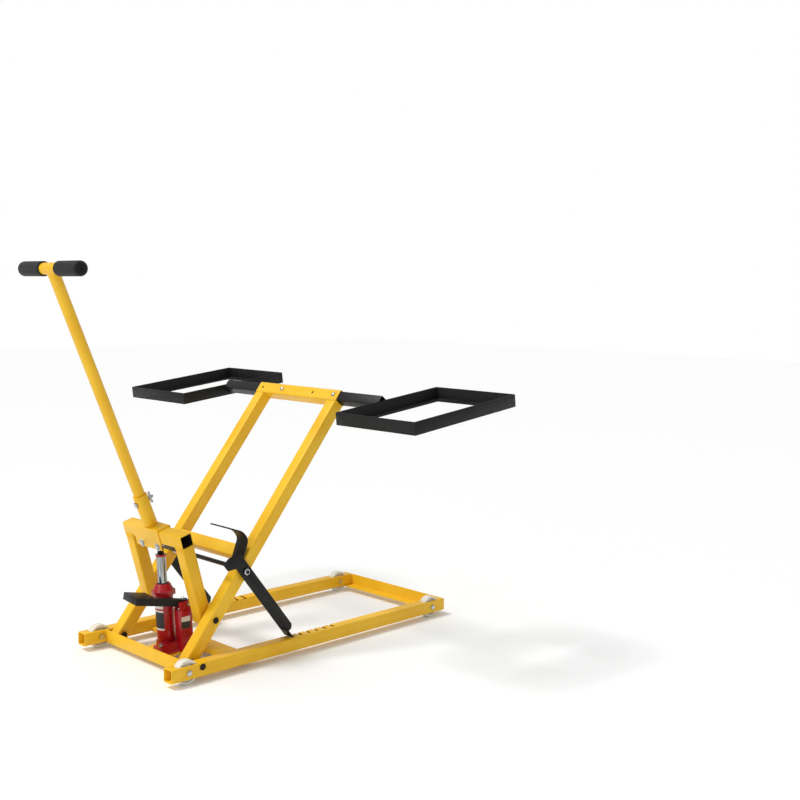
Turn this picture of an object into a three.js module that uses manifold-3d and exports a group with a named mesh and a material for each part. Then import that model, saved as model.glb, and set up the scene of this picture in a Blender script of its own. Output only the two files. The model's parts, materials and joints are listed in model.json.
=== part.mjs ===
// Lawn mower lift: a yellow tube frame on four wheels, a hinged lifting frame with two wheel trays,
// a portal pushed up by a foot-pumped bottle jack, and a pair of safety latches.
// Millimetres. +Z is up, -X is the pedal end, +X points towards the mower, -Y is the near side.
// The pieces are laid out from the middle of the base frame, on the floor.
import * as THREE from "three";
import { mergeVertices } from "three/addons/utils/BufferGeometryUtils.js";
import Module from "manifold-3d";

const wasm = await Module();
wasm.setup();

// Fits shared by the whole lift.
const SEAT_GAP = 0.3;
const RUNNING_GAP = 0.5;
const OVERRUN = 2;
const MERGE_SHARE = 1e-7;

// Base frame.
const RAIL_LENGTH = 1050;
const BASE_WIDTH = 480;
const TUBE = 38;
const TUBE_WALL = 2.5;
const TUBE_CORNER = 4;
const ANGLE_LEG = 38;
const ANGLE_WALL = 3;
const FRONT_ANGLE_SETBACK = 68;
const CHANNEL_WIDTH = 60;
const CHANNEL_HEIGHT = 13;
const CHANNEL_WALL = 3;
const CHANNEL_SETBACK = 225;

// Wheels in the rail ends.
const WHEEL_RADIUS = 34;
const WHEEL_WIDTH = 24;
const WHEEL_INSET = 55;
const WHEEL_BORE = 5.5;
const WHEEL_HUB_RADIUS = 12;
const WHEEL_GROOVE = 1.5;
const WHEEL_CROWN = 2;
const WHEEL_WAIST_SHARE = 0.78;
const AXLE_RADIUS = 5;
const AXLE_HEAD_RADIUS = 8;
const AXLE_HEAD_HEIGHT = 4.5;
const HEAD_CROWN_SHARE = 0.7;
const NUT_FLATS_RADIUS = 8.5;
const NUT_HEIGHT = 6;
const WASHER_RADIUS = 10;

// Latch slots in the tops of the rails.
const SLOT_COUNT = 6;
const SLOT_PITCH = 31;
const SLOT_WIDTH = 11;
const SLOT_REACH = 27;
const SLOT_FIRST_SETBACK = 419;

// Lifting frame.
const ARM_ANGLE = THREE.MathUtils.degToRad(51.75);
const ARM_PIVOT_SETBACK = 98;
const ARM_PIVOT_HEIGHT = 42;
const ARM_LENGTH = 855;
const ARM_OVERHANG = 10;
const ARM_SPREAD = 380;
const MID_BAR_STATION = 331;
const PIVOT_RADIUS = 6;
const PIVOT_HEAD_RADIUS = 9;
const PIVOT_HEAD_HEIGHT = 4;

// Trays on telescopic tubes.
const TELE_TUBE = 32;
const TELE_WALL = 2;
const TELE_CORNER = 3;
const TELE_INSERT = 135;
const TELE_REACH = 175;
const TRAY_LENGTH = 410;
const TRAY_WIDTH = 305;
const TRAY_LEG = 36;
const TRAY_WALL = 3;
const TRAY_FRONT = 183;
const TRAY_RISE = 8;
const TRAY_TILT = THREE.MathUtils.degToRad(7);
const LOCK_SCREW_RADIUS = 4;
const LOCK_HEAD_RADIUS = 6.5;
const LOCK_HEAD_HEIGHT = 4;
const LOCK_SPACING = 95;
const LOCK_INSET = 22;
const SPARE_HOLE_RADIUS = 4;

// Portal that the jack pushes up.
const PORTAL_LEAN = THREE.MathUtils.degToRad(15.5);
const PORTAL_STATION = 128;
const PORTAL_WIDTH = 288;
const LEG_LENGTH = 212;
const LEG_OVERHANG = 14;

// Saddle and push handle.
const SADDLE_WIDTH = 125;
const SADDLE_OFFSET = 22;
const SADDLE_WALL = 3;
const SADDLE_DROP = 19;
const SADDLE_BOLT_RADIUS = 4;
const SADDLE_BOLT_SPREAD = 78;
const SADDLE_BOLT_DROP = 10;
const SADDLE_BOLT_SHIFT = 6;
const HANDLE_LEAN = THREE.MathUtils.degToRad(22.2);
const HANDLE_RADIUS = 16;
const HANDLE_WALL = 2;
const HANDLE_LENGTH = 768;
const HANDLE_LIFT = 30;
const SLEEVE_RADIUS = 20;
const SLEEVE_LENGTH = 96;
const CROSS_TUBE_LENGTH = 290;
const GRIP_LENGTH = 105;
const GRIP_RADIUS = 20;
const GRIP_END_HOLE = 4;
const GRIP_ROUND = 7;
const GRIP_SHOULDER_SHARE = 0.8;
const CLAMP_BOLT_RADIUS = 4;
const CLAMP_BOLT_STATION = 74;
const WING_REACH = 17;
const WING_WIDTH = 9;
const WING_WALL = 3;

// Bottle jack.
const PLATE_LENGTH = 150;
const PLATE_WIDTH = 120;
const PLATE_WALL = 5;
const PLATE_LEAD = 18;
const JACK_STATION = 59;
const JACK_BASE_LENGTH = 86;
const JACK_BASE_BEHIND = 33;
const JACK_BASE_WIDTH = 84;
const JACK_BASE_LIP = 7;
const JACK_BASE_HEIGHT = 26;
const JACK_BASE_CORNER = 12;
const JACK_BODY_RADIUS = 26;
const JACK_BODY_HEIGHT = 132;
const JACK_CAP_RADIUS = 34;
const JACK_CAP_HEIGHT = 34;
const JACK_NECK_RADIUS = 20;
const CAP_SKIRT_SHARE = 0.45;
const CAP_SHOULDER_SHARE = 0.85;
const RAM_RADIUS = 13;
const RAM_OUT = 85;
const RAM_IN = 110;
const RAM_COLLAR_RADIUS = 15;
const RAM_COLLAR_HEIGHT = 6;
const SCREW_RADIUS = 9;
const SCREW_IN = 40;
const SCREW_HEAD_RADIUS = 11;
const SCREW_HEAD_HEIGHT = 14;
const SCREW_DOME = 4;
const SCREW_TIP_SHARE = 0.4;
const SCREW_CROWN_SHARE = 0.8;
const SCREW_RISE_SHARE = 0.6;
const HEAD_PLAY = 2;

// Foot pump beside the jack, turned with it a little towards the near side.
const JACK_YAW = THREE.MathUtils.degToRad(7);
const PUMP_AHEAD = 33;
const PUMP_ASIDE = 47;
const PUMP_LENGTH = 40;
const PUMP_WIDTH = 40;
const PUMP_HEIGHT = 95;
const PUMP_CORNER = 8;
const PUMP_BORE_DEPTH = 60;
const PISTON_RADIUS = 7;
const PISTON_IN = 45;
const PISTON_CROWN = 2;
const EAR_WALL = 5;
const EAR_LENGTH = 38;
const EAR_HEIGHT = 30;
const EAR_RISE = 9;
const FULCRUM_RADIUS = 3.5;
const FULCRUM_RISE = 24;
const FULCRUM_BEHIND = 10;
const FULCRUM_HEAD_RADIUS = 5.6;
const LEVER_PITCH = THREE.MathUtils.degToRad(14.5);
const LEVER_WIDTH = 22;
const LEVER_HEIGHT = 20;
const LEVER_WALL = 2;
const LEVER_LENGTH = 92;
const PEDAL_LENGTH = 65;
const PEDAL_WIDTH = 84;
const PEDAL_WALL = 4;
const PEDAL_LIP = 20;
const VALVE_RADIUS = 6;
const VALVE_DEPTH = 16;
const VALVE_LENGTH = 26;
const VALVE_SLOT_DEPTH = 8;
const VALVE_SLOT_WIDTH = 3;
const VALVE_HEIGHT = 20;

// Safety latches on the arms.
const LATCH_STATION = 284;
const LATCH_ANGLE = THREE.MathUtils.degToRad(52);
const LATCH_WIDTH = 36;
const LATCH_WALL = 6;
const LATCH_BACK = 62;
const LATCH_SPACER = 5;
const LATCH_NUT_RADIUS = 10.2;
const TONGUE_WALL = 5;
const TONGUE_LENGTH = 30;
const TONGUE_REACH = 28;
const STRAP_BACK = 58;
const STRAP_DROP = 29;
const STRAP_WIDTH = 17;
const STRAP_WALL = 5;
const LUG_WIDTH = 24;
const STEP_WIDTH = 48;
const STEP_WALL = 4;
const STEP_BULGE = 64;
const STEP_BACK = 161;
const STEP_TIP = 21;
const STEP_BEND = 24;

// Round counts.
const HEX_STEPS = 6;
const ROUND_STEPS = 16;
const FINE_STEPS = 24;
const CORNER_STEPS = 2;

// Paints and metals.
const material = (color, roughness, metalness) =>
  new THREE.MeshStandardMaterial({ color, roughness, metalness });
const YELLOW = () => material("#f5b81c", 0.38, 0);
const BLACK = () => material("#1d1c1c", 0.5, 0);
const RED = () => material("#b3101f", 0.3, 0);
const STEEL = () => material("#c4c6c8", 0.3, 1);
const DARK_STEEL = () => material("#2b2829", 0.45, 0.6);
const NYLON = () => material("#ece9dc", 0.45, 0);
const FOAM = () => material("#19191a", 0.75, 0);

// Places that several pieces share.
const RAIL_BOTTOM = WHEEL_RADIUS - TUBE / 2;
const RAIL_TOP = RAIL_BOTTOM + TUBE;
const RAIL_MIDDLE = BASE_WIDTH / 2 - TUBE / 2;
const RAIL_INSIDE = BASE_WIDTH / 2 - TUBE;
const ARM_MIDDLE = ARM_SPREAD / 2 - TUBE / 2;
const ARM_INSIDE = ARM_SPREAD / 2 - TUBE;
const BASE_FRONT = -RAIL_LENGTH / 2;
const FLANGE_EDGE = BASE_FRONT + FRONT_ANGLE_SETBACK + ANGLE_LEG;
const CHANNEL_FRONT = BASE_FRONT + CHANNEL_SETBACK;
const FLANGE_TOP = RAIL_BOTTOM + ANGLE_WALL;
const PLATE_RISE = RAIL_BOTTOM + CHANNEL_HEIGHT - FLANGE_TOP;
const PLATE_FRONT = FLANGE_EDGE - PLATE_LEAD;
const JACK_LEAN = Math.atan2(PLATE_RISE, CHANNEL_FRONT - PLATE_FRONT);
const TOP_BAR_STATION = ARM_LENGTH + TUBE / 2;
const LEG_MIDDLE = PORTAL_WIDTH / 2 - TUBE / 2;
const BEAM_TOP = LEG_LENGTH + TUBE;

// The latch is as long as it takes for the low corner of its tip to rest on the rails.
const LATCH_RISE = ARM_PIVOT_HEIGHT + LATCH_STATION * Math.sin(ARM_ANGLE) - RAIL_TOP - SEAT_GAP;
const LATCH_LENGTH = (LATCH_RISE - (LATCH_WIDTH / 2) * Math.cos(LATCH_ANGLE)) / Math.sin(LATCH_ANGLE);

// A closed geometry as a solid that can be joined and cut.
function solid(geometry) {
  const bare = new THREE.BufferGeometry();
  const flat = geometry.index ? geometry.toNonIndexed() : geometry;
  bare.setAttribute("position", flat.getAttribute("position"));
  const merged = mergeVertices(bare, RAIL_LENGTH * MERGE_SHARE);
  return new wasm.Manifold(
    new wasm.Mesh({
      numProp: 3,
      vertProperties: merged.attributes.position.array,
      triVerts: new Uint32Array(merged.index.array),
    }),
  );
}

// A solid as a flat-shaded mesh with its own material.
function piece(name, body, look) {
  const data = body.getMesh();
  const geometry = new THREE.BufferGeometry();
  geometry.setAttribute("position", new THREE.BufferAttribute(data.vertProperties, 3));
  geometry.setIndex(new THREE.BufferAttribute(data.triVerts, 1));
  const flat = geometry.toNonIndexed();
  flat.computeVertexNormals();
  const mesh = new THREE.Mesh(flat, look());
  mesh.name = name;
  return mesh;
}

// A box between two corners.
function block(low, high) {
  const size = high.map((value, i) => value - low[i]);
  const middle = high.map((value, i) => (value + low[i]) / 2);
  return solid(new THREE.BoxGeometry(...size).translate(...middle));
}

// Turns a geometry drawn along Z so that it runs along X or Y.
function turned(geometry, axis) {
  if (axis === "x") return geometry.rotateY(Math.PI / 2);
  if (axis === "y") return geometry.rotateX(-Math.PI / 2);
  return geometry;
}

// A round rod from one place to another along an axis through a centre.
function rod(axis, radius, from, to, centre = [0, 0, 0], steps = ROUND_STEPS) {
  const geometry = new THREE.CylinderGeometry(radius, radius, to - from, steps);
  geometry.rotateX(Math.PI / 2).translate(0, 0, (from + to) / 2);
  return solid(turned(geometry, axis).translate(...centre));
}

// A turned body: pairs of radius and height, revolved about Z.
function revolve(pairs, steps = ROUND_STEPS) {
  const points = pairs.map(([radius, height]) => new THREE.Vector2(radius, height));
  return solid(new THREE.LatheGeometry(points, steps).rotateX(Math.PI / 2));
}

// A rectangle with rounded corners.
function roundedShape(width, height, corner) {
  const [x, y] = [width / 2, height / 2];
  const shape = new THREE.Shape();
  shape.moveTo(corner - x, -y);
  shape.lineTo(x - corner, -y);
  shape.absarc(x - corner, corner - y, corner, -Math.PI / 2, 0);
  shape.lineTo(x, y - corner);
  shape.absarc(x - corner, y - corner, corner, 0, Math.PI / 2);
  shape.lineTo(corner - x, y);
  shape.absarc(corner - x, y - corner, corner, Math.PI / 2, Math.PI);
  shape.lineTo(-x, corner - y);
  shape.absarc(corner - x, corner - y, corner, Math.PI, 1.5 * Math.PI);
  return shape;
}

// A shape drawn out along an axis from one place to another.
function drawn(shape, axis, from, to, centre = [0, 0, 0]) {
  const settings = { depth: to - from, bevelEnabled: false, curveSegments: CORNER_STEPS };
  const geometry = new THREE.ExtrudeGeometry(shape, settings).translate(0, 0, from);
  return solid(turned(geometry, axis).translate(...centre));
}

// A rounded bar, and the same with a rounded hollow right through it.
function bar(width, height, corner, axis, from, to, centre) {
  return drawn(roundedShape(width, height, corner), axis, from, to, centre);
}
function tube(size, wall, corner, axis, from, to, centre) {
  const inner = size - 2 * wall;
  const outer = bar(size, size, corner, axis, from, to, centre);
  const hollow = bar(inner, inner, corner - wall / 2, axis, from - OVERRUN, to + OVERRUN, centre);
  return outer.subtract(hollow);
}

// An outline in the XZ plane, drawn out along Y.
function sideProfile(points, from, to) {
  const shape = new THREE.Shape(points.map(([x, z]) => new THREE.Vector2(x, -z)));
  const settings = { depth: to - from, bevelEnabled: false };
  const geometry = new THREE.ExtrudeGeometry(shape, settings).translate(0, 0, from);
  return solid(geometry.rotateX(-Math.PI / 2));
}

// A strip of even wall that follows rounded corners in the XZ plane, drawn out along Y.
function bentStrip(points, bend, wall, from, to) {
  const path = new THREE.CurvePath();
  const at = points.map(([x, z]) => new THREE.Vector2(x, z));
  let last = at[0];
  for (let i = 1; i < at.length - 1; i += 1) {
    const before = at[i - 1].clone().sub(at[i]).setLength(bend).add(at[i]);
    const after = at[i + 1].clone().sub(at[i]).setLength(bend).add(at[i]);
    path.add(new THREE.LineCurve(last, before));
    path.add(new THREE.QuadraticBezierCurve(before, at[i], after));
    last = after;
  }
  path.add(new THREE.LineCurve(last, at[at.length - 1]));
  const middle = path.getPoints(CORNER_STEPS * 2).filter(
    (point, i, all) => i === 0 || point.distanceTo(all[i - 1]) > wall * MERGE_SHARE,
  );
  const sides = [1, -1].map((side) =>
    middle.map((point, i) => {
      const ahead = middle[Math.min(i + 1, middle.length - 1)];
      const behind = middle[Math.max(i - 1, 0)];
      const run = ahead.clone().sub(behind).normalize();
      return [point.x - (run.y * side * wall) / 2, point.y + (run.x * side * wall) / 2];
    }),
  );
  return sideProfile([...sides[0], ...sides[1].reverse()], from, to);
}

const lift = new THREE.Group();

// A nested frame at a place, turned about Y so that its X axis rises by an angle.
function frameAt(parent, x, z, rise) {
  const group = new THREE.Group();
  group.position.set(x, 0, z);
  group.rotation.y = -rise;
  parent.add(group);
  return group;
}

// A bolt along Y with a domed head at the outer end: its place, reach and sizes are given.
function crossBolt(outer, inner, radius, headRadius, headHeight) {
  const side = Math.sign(outer);
  const [low, high] = [Math.min(outer, inner), Math.max(outer, inner)];
  const head = solid(
    new THREE.LatheGeometry(
      [
        new THREE.Vector2(0, 0),
        new THREE.Vector2(headRadius, 0),
        new THREE.Vector2(headRadius, headHeight / 2),
        new THREE.Vector2(headRadius * HEAD_CROWN_SHARE, headHeight),
        new THREE.Vector2(0, headHeight),
      ],
      ROUND_STEPS,
    )
      .rotateX(side > 0 ? 0 : Math.PI)
      .translate(0, outer, 0),
  );
  return rod("y", radius, low, high).add(head);
}

const SIDES = [
  ["near", -1],
  ["far", 1],
];
const ENDS = [
  ["front", -1],
  ["rear", 1],
];

// Base rails with their wheel slots, axle holes, pivot holes and latch slots.
const WHEEL_PLACE = RAIL_LENGTH / 2 - WHEEL_INSET;
const PIVOT_X = BASE_FRONT + ARM_PIVOT_SETBACK;
const RUN_HEIGHT = TUBE / 2;
const WHEEL_SLOT = 2 * Math.sqrt(WHEEL_RADIUS ** 2 - (RUN_HEIGHT - TUBE_WALL) ** 2) + 4 * RUNNING_GAP;

function rail(side) {
  const middle = side * RAIL_MIDDLE;
  const place = [0, middle, WHEEL_RADIUS];
  let body = tube(TUBE, TUBE_WALL, TUBE_CORNER, "x", BASE_FRONT, -BASE_FRONT, place);
  const reach = TUBE / 2 + OVERRUN;
  const half = WHEEL_WIDTH / 2 + 2 * RUNNING_GAP;
  for (const end of [-1, 1]) {
    const x = end * WHEEL_PLACE;
    body = body.subtract(
      block(
        [x - WHEEL_SLOT / 2, middle - half, RAIL_BOTTOM - OVERRUN],
        [x + WHEEL_SLOT / 2, middle + half, RAIL_TOP + OVERRUN],
      ),
    );
    const bore = AXLE_RADIUS + SEAT_GAP;
    body = body.subtract(rod("y", bore, -reach, reach, [x, middle, WHEEL_RADIUS]));
  }
  const pivotBore = PIVOT_RADIUS + SEAT_GAP;
  body = body.subtract(rod("y", pivotBore, -reach, reach, [PIVOT_X, middle, ARM_PIVOT_HEIGHT]));
  const inner = side * RAIL_INSIDE;
  const outer = side * (RAIL_INSIDE + SLOT_REACH);
  for (let i = 0; i < SLOT_COUNT; i += 1) {
    const x = BASE_FRONT + SLOT_FIRST_SETBACK + i * SLOT_PITCH;
    body = body.subtract(
      block(
        [x, Math.min(inner, outer) - (side > 0 ? OVERRUN : 0), RAIL_TOP - TUBE_WALL - OVERRUN],
        [x + SLOT_WIDTH, Math.max(inner, outer) + (side > 0 ? 0 : OVERRUN), RAIL_TOP + OVERRUN],
      ),
    );
  }
  return body;
}

// An angle iron across the base, its upright wall outside.
function crossAngle(outsideX, inwards) {
  const across = RAIL_INSIDE - SEAT_GAP;
  const upright = outsideX + inwards * ANGLE_WALL;
  const toe = outsideX + inwards * ANGLE_LEG;
  return sideProfile(
    [
      [outsideX, RAIL_BOTTOM],
      [toe, RAIL_BOTTOM],
      [toe, RAIL_BOTTOM + ANGLE_WALL],
      [upright, RAIL_BOTTOM + ANGLE_WALL],
      [upright, RAIL_TOP],
      [outsideX, RAIL_TOP],
    ],
    -across,
    across,
  );
}

// A shallow channel across the base, open underneath.
function crossChannel() {
  const across = RAIL_INSIDE - SEAT_GAP;
  const rear = CHANNEL_FRONT + CHANNEL_WIDTH;
  const top = RAIL_BOTTOM + CHANNEL_HEIGHT;
  const outer = block([CHANNEL_FRONT, -across, RAIL_BOTTOM], [rear, across, top]);
  return outer.subtract(
    block(
      [CHANNEL_FRONT + CHANNEL_WALL, -across - OVERRUN, RAIL_BOTTOM - OVERRUN],
      [rear - CHANNEL_WALL, across + OVERRUN, top - CHANNEL_WALL],
    ),
  );
}

function wheel() {
  const half = WHEEL_WIDTH / 2;
  const waist = WHEEL_RADIUS * WHEEL_WAIST_SHARE;
  const body = revolve([
    [WHEEL_BORE, -half],
    [WHEEL_HUB_RADIUS, -half],
    [WHEEL_HUB_RADIUS, WHEEL_GROOVE - half],
    [waist, WHEEL_GROOVE - half],
    [waist, -half],
    [WHEEL_RADIUS - WHEEL_CROWN, -half],
    [WHEEL_RADIUS, WHEEL_CROWN - half],
    [WHEEL_RADIUS, half - WHEEL_CROWN],
    [WHEEL_RADIUS - WHEEL_CROWN, half],
    [waist, half],
    [waist, half - WHEEL_GROOVE],
    [WHEEL_HUB_RADIUS, half - WHEEL_GROOVE],
    [WHEEL_HUB_RADIUS, half],
    [WHEEL_BORE, half],
    [WHEEL_BORE, -half],
  ], FINE_STEPS);
  const halfStep = 180 / FINE_STEPS;
  return body.rotate([90, halfStep, 0]);
}

function placed(mesh, x, y, z) {
  mesh.position.set(x, y, z);
  return mesh;
}

function addBase() {
  for (const [word, side] of SIDES) {
    lift.add(piece(`${word}_rail`, rail(side), YELLOW));
    for (const [end, sign] of ENDS) {
      const x = sign * WHEEL_PLACE;
      lift.add(placed(piece(`${end}_${word}_wheel`, wheel(), NYLON), x, side * RAIL_MIDDLE, WHEEL_RADIUS));
      const outer = side * (BASE_WIDTH / 2 + SEAT_GAP);
      const inner = side * (RAIL_INSIDE - NUT_HEIGHT - SEAT_GAP);
      const axle = crossBolt(outer, inner, AXLE_RADIUS, AXLE_HEAD_RADIUS, AXLE_HEAD_HEIGHT);
      const ring = [side * (RAIL_INSIDE - SEAT_GAP), inner];
      const nut = rod("y", NUT_FLATS_RADIUS, Math.min(...ring), Math.max(...ring), [0, 0, 0], HEX_STEPS);
      lift.add(placed(piece(`${end}_${word}_axle`, axle.add(nut), STEEL), x, 0, WHEEL_RADIUS));
    }
    const outer = side * (BASE_WIDTH / 2 + SEAT_GAP);
    const inner = side * (ARM_INSIDE - SEAT_GAP);
    const pivot = crossBolt(outer, inner, PIVOT_RADIUS, PIVOT_HEAD_RADIUS, PIVOT_HEAD_HEIGHT);
    const ring = [inner, inner - side * PIVOT_HEAD_HEIGHT];
    const head = rod("y", PIVOT_HEAD_RADIUS, Math.min(...ring), Math.max(...ring));
    lift.add(placed(piece(`${word}_arm_pivot`, pivot.add(head), DARK_STEEL), PIVOT_X, 0, ARM_PIVOT_HEIGHT));
    const washer = [side * (ARM_SPREAD / 2 + RUNNING_GAP), side * (RAIL_INSIDE - SEAT_GAP)];
    const [low, high] = [Math.min(...washer), Math.max(...washer)];
    const spacer = rod("y", WASHER_RADIUS, low, high).subtract(
      rod("y", PIVOT_RADIUS + SEAT_GAP, low - OVERRUN, high + OVERRUN),
    );
    lift.add(placed(piece(`${word}_arm_spacer`, spacer, STEEL), PIVOT_X, 0, ARM_PIVOT_HEIGHT));
  }
  lift.add(piece("front_cross_angle", crossAngle(BASE_FRONT + FRONT_ANGLE_SETBACK, 1), YELLOW));
  lift.add(piece("rear_cross_angle", crossAngle(-BASE_FRONT, -1), YELLOW));
  lift.add(piece("middle_cross_channel", crossChannel(), YELLOW));
}

// The lifting frame: two arms, a middle bar and a hollow top bar for the telescopic tubes.
const armFrame = frameAt(lift, PIVOT_X, ARM_PIVOT_HEIGHT, ARM_ANGLE);

function arm(side) {
  const y = side * ARM_MIDDLE;
  const end = ARM_LENGTH - SEAT_GAP;
  let body = tube(TUBE, TUBE_WALL, TUBE_CORNER, "x", -ARM_OVERHANG, end, [0, y, 0]);
  const reach = TUBE / 2 + OVERRUN;
  for (const station of [0, PORTAL_STATION, LATCH_STATION]) {
    const bore = rod("y", PIVOT_RADIUS + RUNNING_GAP, -reach, reach, [station, y, 0]);
    body = body.subtract(bore);
  }
  return body;
}

function lockPlaces() {
  const outer = ARM_SPREAD / 2 - LOCK_INSET;
  return [-outer, -outer + LOCK_SPACING, outer - LOCK_SPACING, outer];
}

function topBar() {
  const half = ARM_SPREAD / 2;
  let body = tube(TUBE, TUBE_WALL, TUBE_CORNER, "y", -half, half, [TOP_BAR_STATION, 0, 0]);
  for (const y of lockPlaces()) {
    const z = TUBE / 2;
    const radius = SPARE_HOLE_RADIUS + SEAT_GAP;
    const place = [TOP_BAR_STATION, y, 0];
    body = body.subtract(rod("z", radius, z - TUBE_WALL - OVERRUN, z + OVERRUN, place));
  }
  return body;
}

function lockScrew() {
  const seat = TUBE / 2 + SEAT_GAP;
  const tip = TUBE / 2 - TUBE_WALL;
  const shank = rod("z", LOCK_SCREW_RADIUS, tip, seat);
  return shank.add(
    revolve([
      [0, seat],
      [LOCK_HEAD_RADIUS, seat],
      [LOCK_HEAD_RADIUS, seat + LOCK_HEAD_HEIGHT / 2],
      [LOCK_HEAD_RADIUS / 2, seat + LOCK_HEAD_HEIGHT],
      [0, seat + LOCK_HEAD_HEIGHT],
    ]),
  );
}

// One straight angle of a tray, its upright wall outside and its floor wall inwards.
function trayAngle(run, from, to, outside, inwards) {
  const top = TRAY_RISE;
  const low = TRAY_RISE - TRAY_LEG;
  const toe = outside + inwards * TRAY_LEG;
  const wall = outside + inwards * TRAY_WALL;
  const span = (a, b) => [Math.min(a, b), Math.max(a, b)];
  const [floorLow, floorHigh] = span(outside, toe);
  const [wallLow, wallHigh] = span(outside, wall);
  const floorTop = low + TRAY_WALL;
  if (run === "x") {
    return block([from, wallLow, low], [to, wallHigh, top]).add(
      block([from, floorLow, low], [to, floorHigh, floorTop]),
    );
  }
  return block([wallLow, from, low], [wallHigh, to, top]).add(
    block([floorLow, from, low], [floorHigh, to, floorTop]),
  );
}

function addTray(word, side) {
  const start = ARM_SPREAD / 2 - TELE_INSERT;
  const reach = ARM_SPREAD / 2 + TELE_REACH;
  const [low, high] = side > 0 ? [start, reach] : [-reach, -start];
  const slider = tube(TELE_TUBE, TELE_WALL, TELE_CORNER, "y", low, high, [TOP_BAR_STATION, 0, 0]);
  armFrame.add(piece(`${word}_telescopic_tube`, slider, BLACK));
  const tray = frameAt(armFrame, TOP_BAR_STATION, 0, TRAY_TILT - ARM_ANGLE);
  const inner = side * (reach + SEAT_GAP);
  const outer = inner + side * TRAY_WIDTH;
  const rear = TRAY_LENGTH - TRAY_FRONT;
  const [endFrom, endTo] = [Math.min(inner, outer), Math.max(inner, outer)];
  const welded = trayAngle("x", -TRAY_FRONT, rear, inner, side)
    .add(trayAngle("x", -TRAY_FRONT, rear, outer, -side))
    .add(trayAngle("y", endFrom, endTo, -TRAY_FRONT, 1))
    .add(trayAngle("y", endFrom, endTo, rear, -1));
  tray.add(piece(`${word}_wheel_tray`, welded, BLACK));
}

function addLiftingFrame() {
  for (const [word, side] of SIDES) {
    armFrame.add(piece(`${word}_arm`, arm(side), YELLOW));
    const outer = side * (ARM_SPREAD / 2 + SEAT_GAP);
    const inner = side * (LEG_MIDDLE - TUBE / 2 - SEAT_GAP);
    const bolt = crossBolt(outer, inner, PIVOT_RADIUS, PIVOT_HEAD_RADIUS, PIVOT_HEAD_HEIGHT);
    const ring = [inner, inner - side * PIVOT_HEAD_HEIGHT];
    const head = rod("y", PIVOT_HEAD_RADIUS, Math.min(...ring), Math.max(...ring));
    armFrame.add(placed(piece(`${word}_leg_pivot`, bolt.add(head), DARK_STEEL), PORTAL_STATION, 0, 0));
    addTray(word, side);
  }
  const across = ARM_INSIDE - SEAT_GAP;
  const middle = tube(TUBE, TUBE_WALL, TUBE_CORNER, "y", -across, across, [MID_BAR_STATION, 0, 0]);
  armFrame.add(piece("middle_bar", middle, YELLOW));
  armFrame.add(piece("top_bar", topBar(), YELLOW));
  const [nearOuter, , farInner] = lockPlaces();
  armFrame.add(placed(piece("near_lock_screw", lockScrew(), STEEL), TOP_BAR_STATION, nearOuter, 0));
  armFrame.add(placed(piece("far_lock_screw", lockScrew(), STEEL), TOP_BAR_STATION, farInner, 0));
}

addBase();
addLiftingFrame();

// The portal: two legs hung on the arms and a beam over the jack.
const LEG_X = PIVOT_X + PORTAL_STATION * Math.cos(ARM_ANGLE);
const LEG_Z = ARM_PIVOT_HEIGHT + PORTAL_STATION * Math.sin(ARM_ANGLE);
const portal = frameAt(lift, LEG_X, LEG_Z, PORTAL_LEAN);

function leg(side) {
  const y = side * LEG_MIDDLE;
  const top = LEG_LENGTH - SEAT_GAP;
  const body = tube(TUBE, TUBE_WALL, TUBE_CORNER, "z", -LEG_OVERHANG, top, [0, y, 0]);
  const reach = TUBE / 2 + OVERRUN;
  return body.subtract(rod("y", PIVOT_RADIUS + RUNNING_GAP, -reach, reach, [0, y, 0]));
}

// A U-shaped saddle over the beam, with the holes of its two clamping bolts.
function saddle() {
  const half = TUBE / 2 + SEAT_GAP;
  const outer = half + SADDLE_WALL;
  const low = LEG_LENGTH - SADDLE_DROP;
  const top = BEAM_TOP + SEAT_GAP;
  const [from, to] = [SADDLE_OFFSET - SADDLE_WIDTH / 2, SADDLE_OFFSET + SADDLE_WIDTH / 2];
  const profile = [
    [-outer, low],
    [-half, low],
    [-half, top],
    [half, top],
    [half, low],
    [outer, low],
    [outer, top + SADDLE_WALL],
    [-outer, top + SADDLE_WALL],
  ];
  let body = sideProfile(profile, from, to);
  for (const y of saddleBoltPlaces()) {
    const bore = SADDLE_BOLT_RADIUS + SEAT_GAP;
    const place = [0, y, LEG_LENGTH - SADDLE_BOLT_DROP];
    body = body.subtract(rod("x", bore, -outer - OVERRUN, outer + OVERRUN, place));
  }
  return body;
}

function saddleBoltPlaces() {
  return [-1, 1].map((side) => SADDLE_OFFSET - SADDLE_BOLT_SHIFT + (side * SADDLE_BOLT_SPREAD) / 2);
}

function saddleBolt() {
  const face = TUBE / 2 + SADDLE_WALL + 2 * SEAT_GAP;
  const head = rod("x", NUT_FLATS_RADIUS, -face - LOCK_HEAD_HEIGHT, -face, [0, 0, 0], HEX_STEPS);
  const nut = rod("x", NUT_FLATS_RADIUS, face, face + NUT_HEIGHT, [0, 0, 0], HEX_STEPS);
  const shank = rod("x", SADDLE_BOLT_RADIUS, -face, face + NUT_HEIGHT + LOCK_HEAD_HEIGHT / 2);
  return shank.add(head).add(nut);
}

// The push handle stands in a sleeve welded on the saddle, in a frame along its own axis.
const handle = new THREE.Group();
handle.position.set(0, SADDLE_OFFSET, BEAM_TOP + SADDLE_WALL + SEAT_GAP);
handle.rotation.y = PORTAL_LEAN - HANDLE_LEAN;
portal.add(handle);

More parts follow.
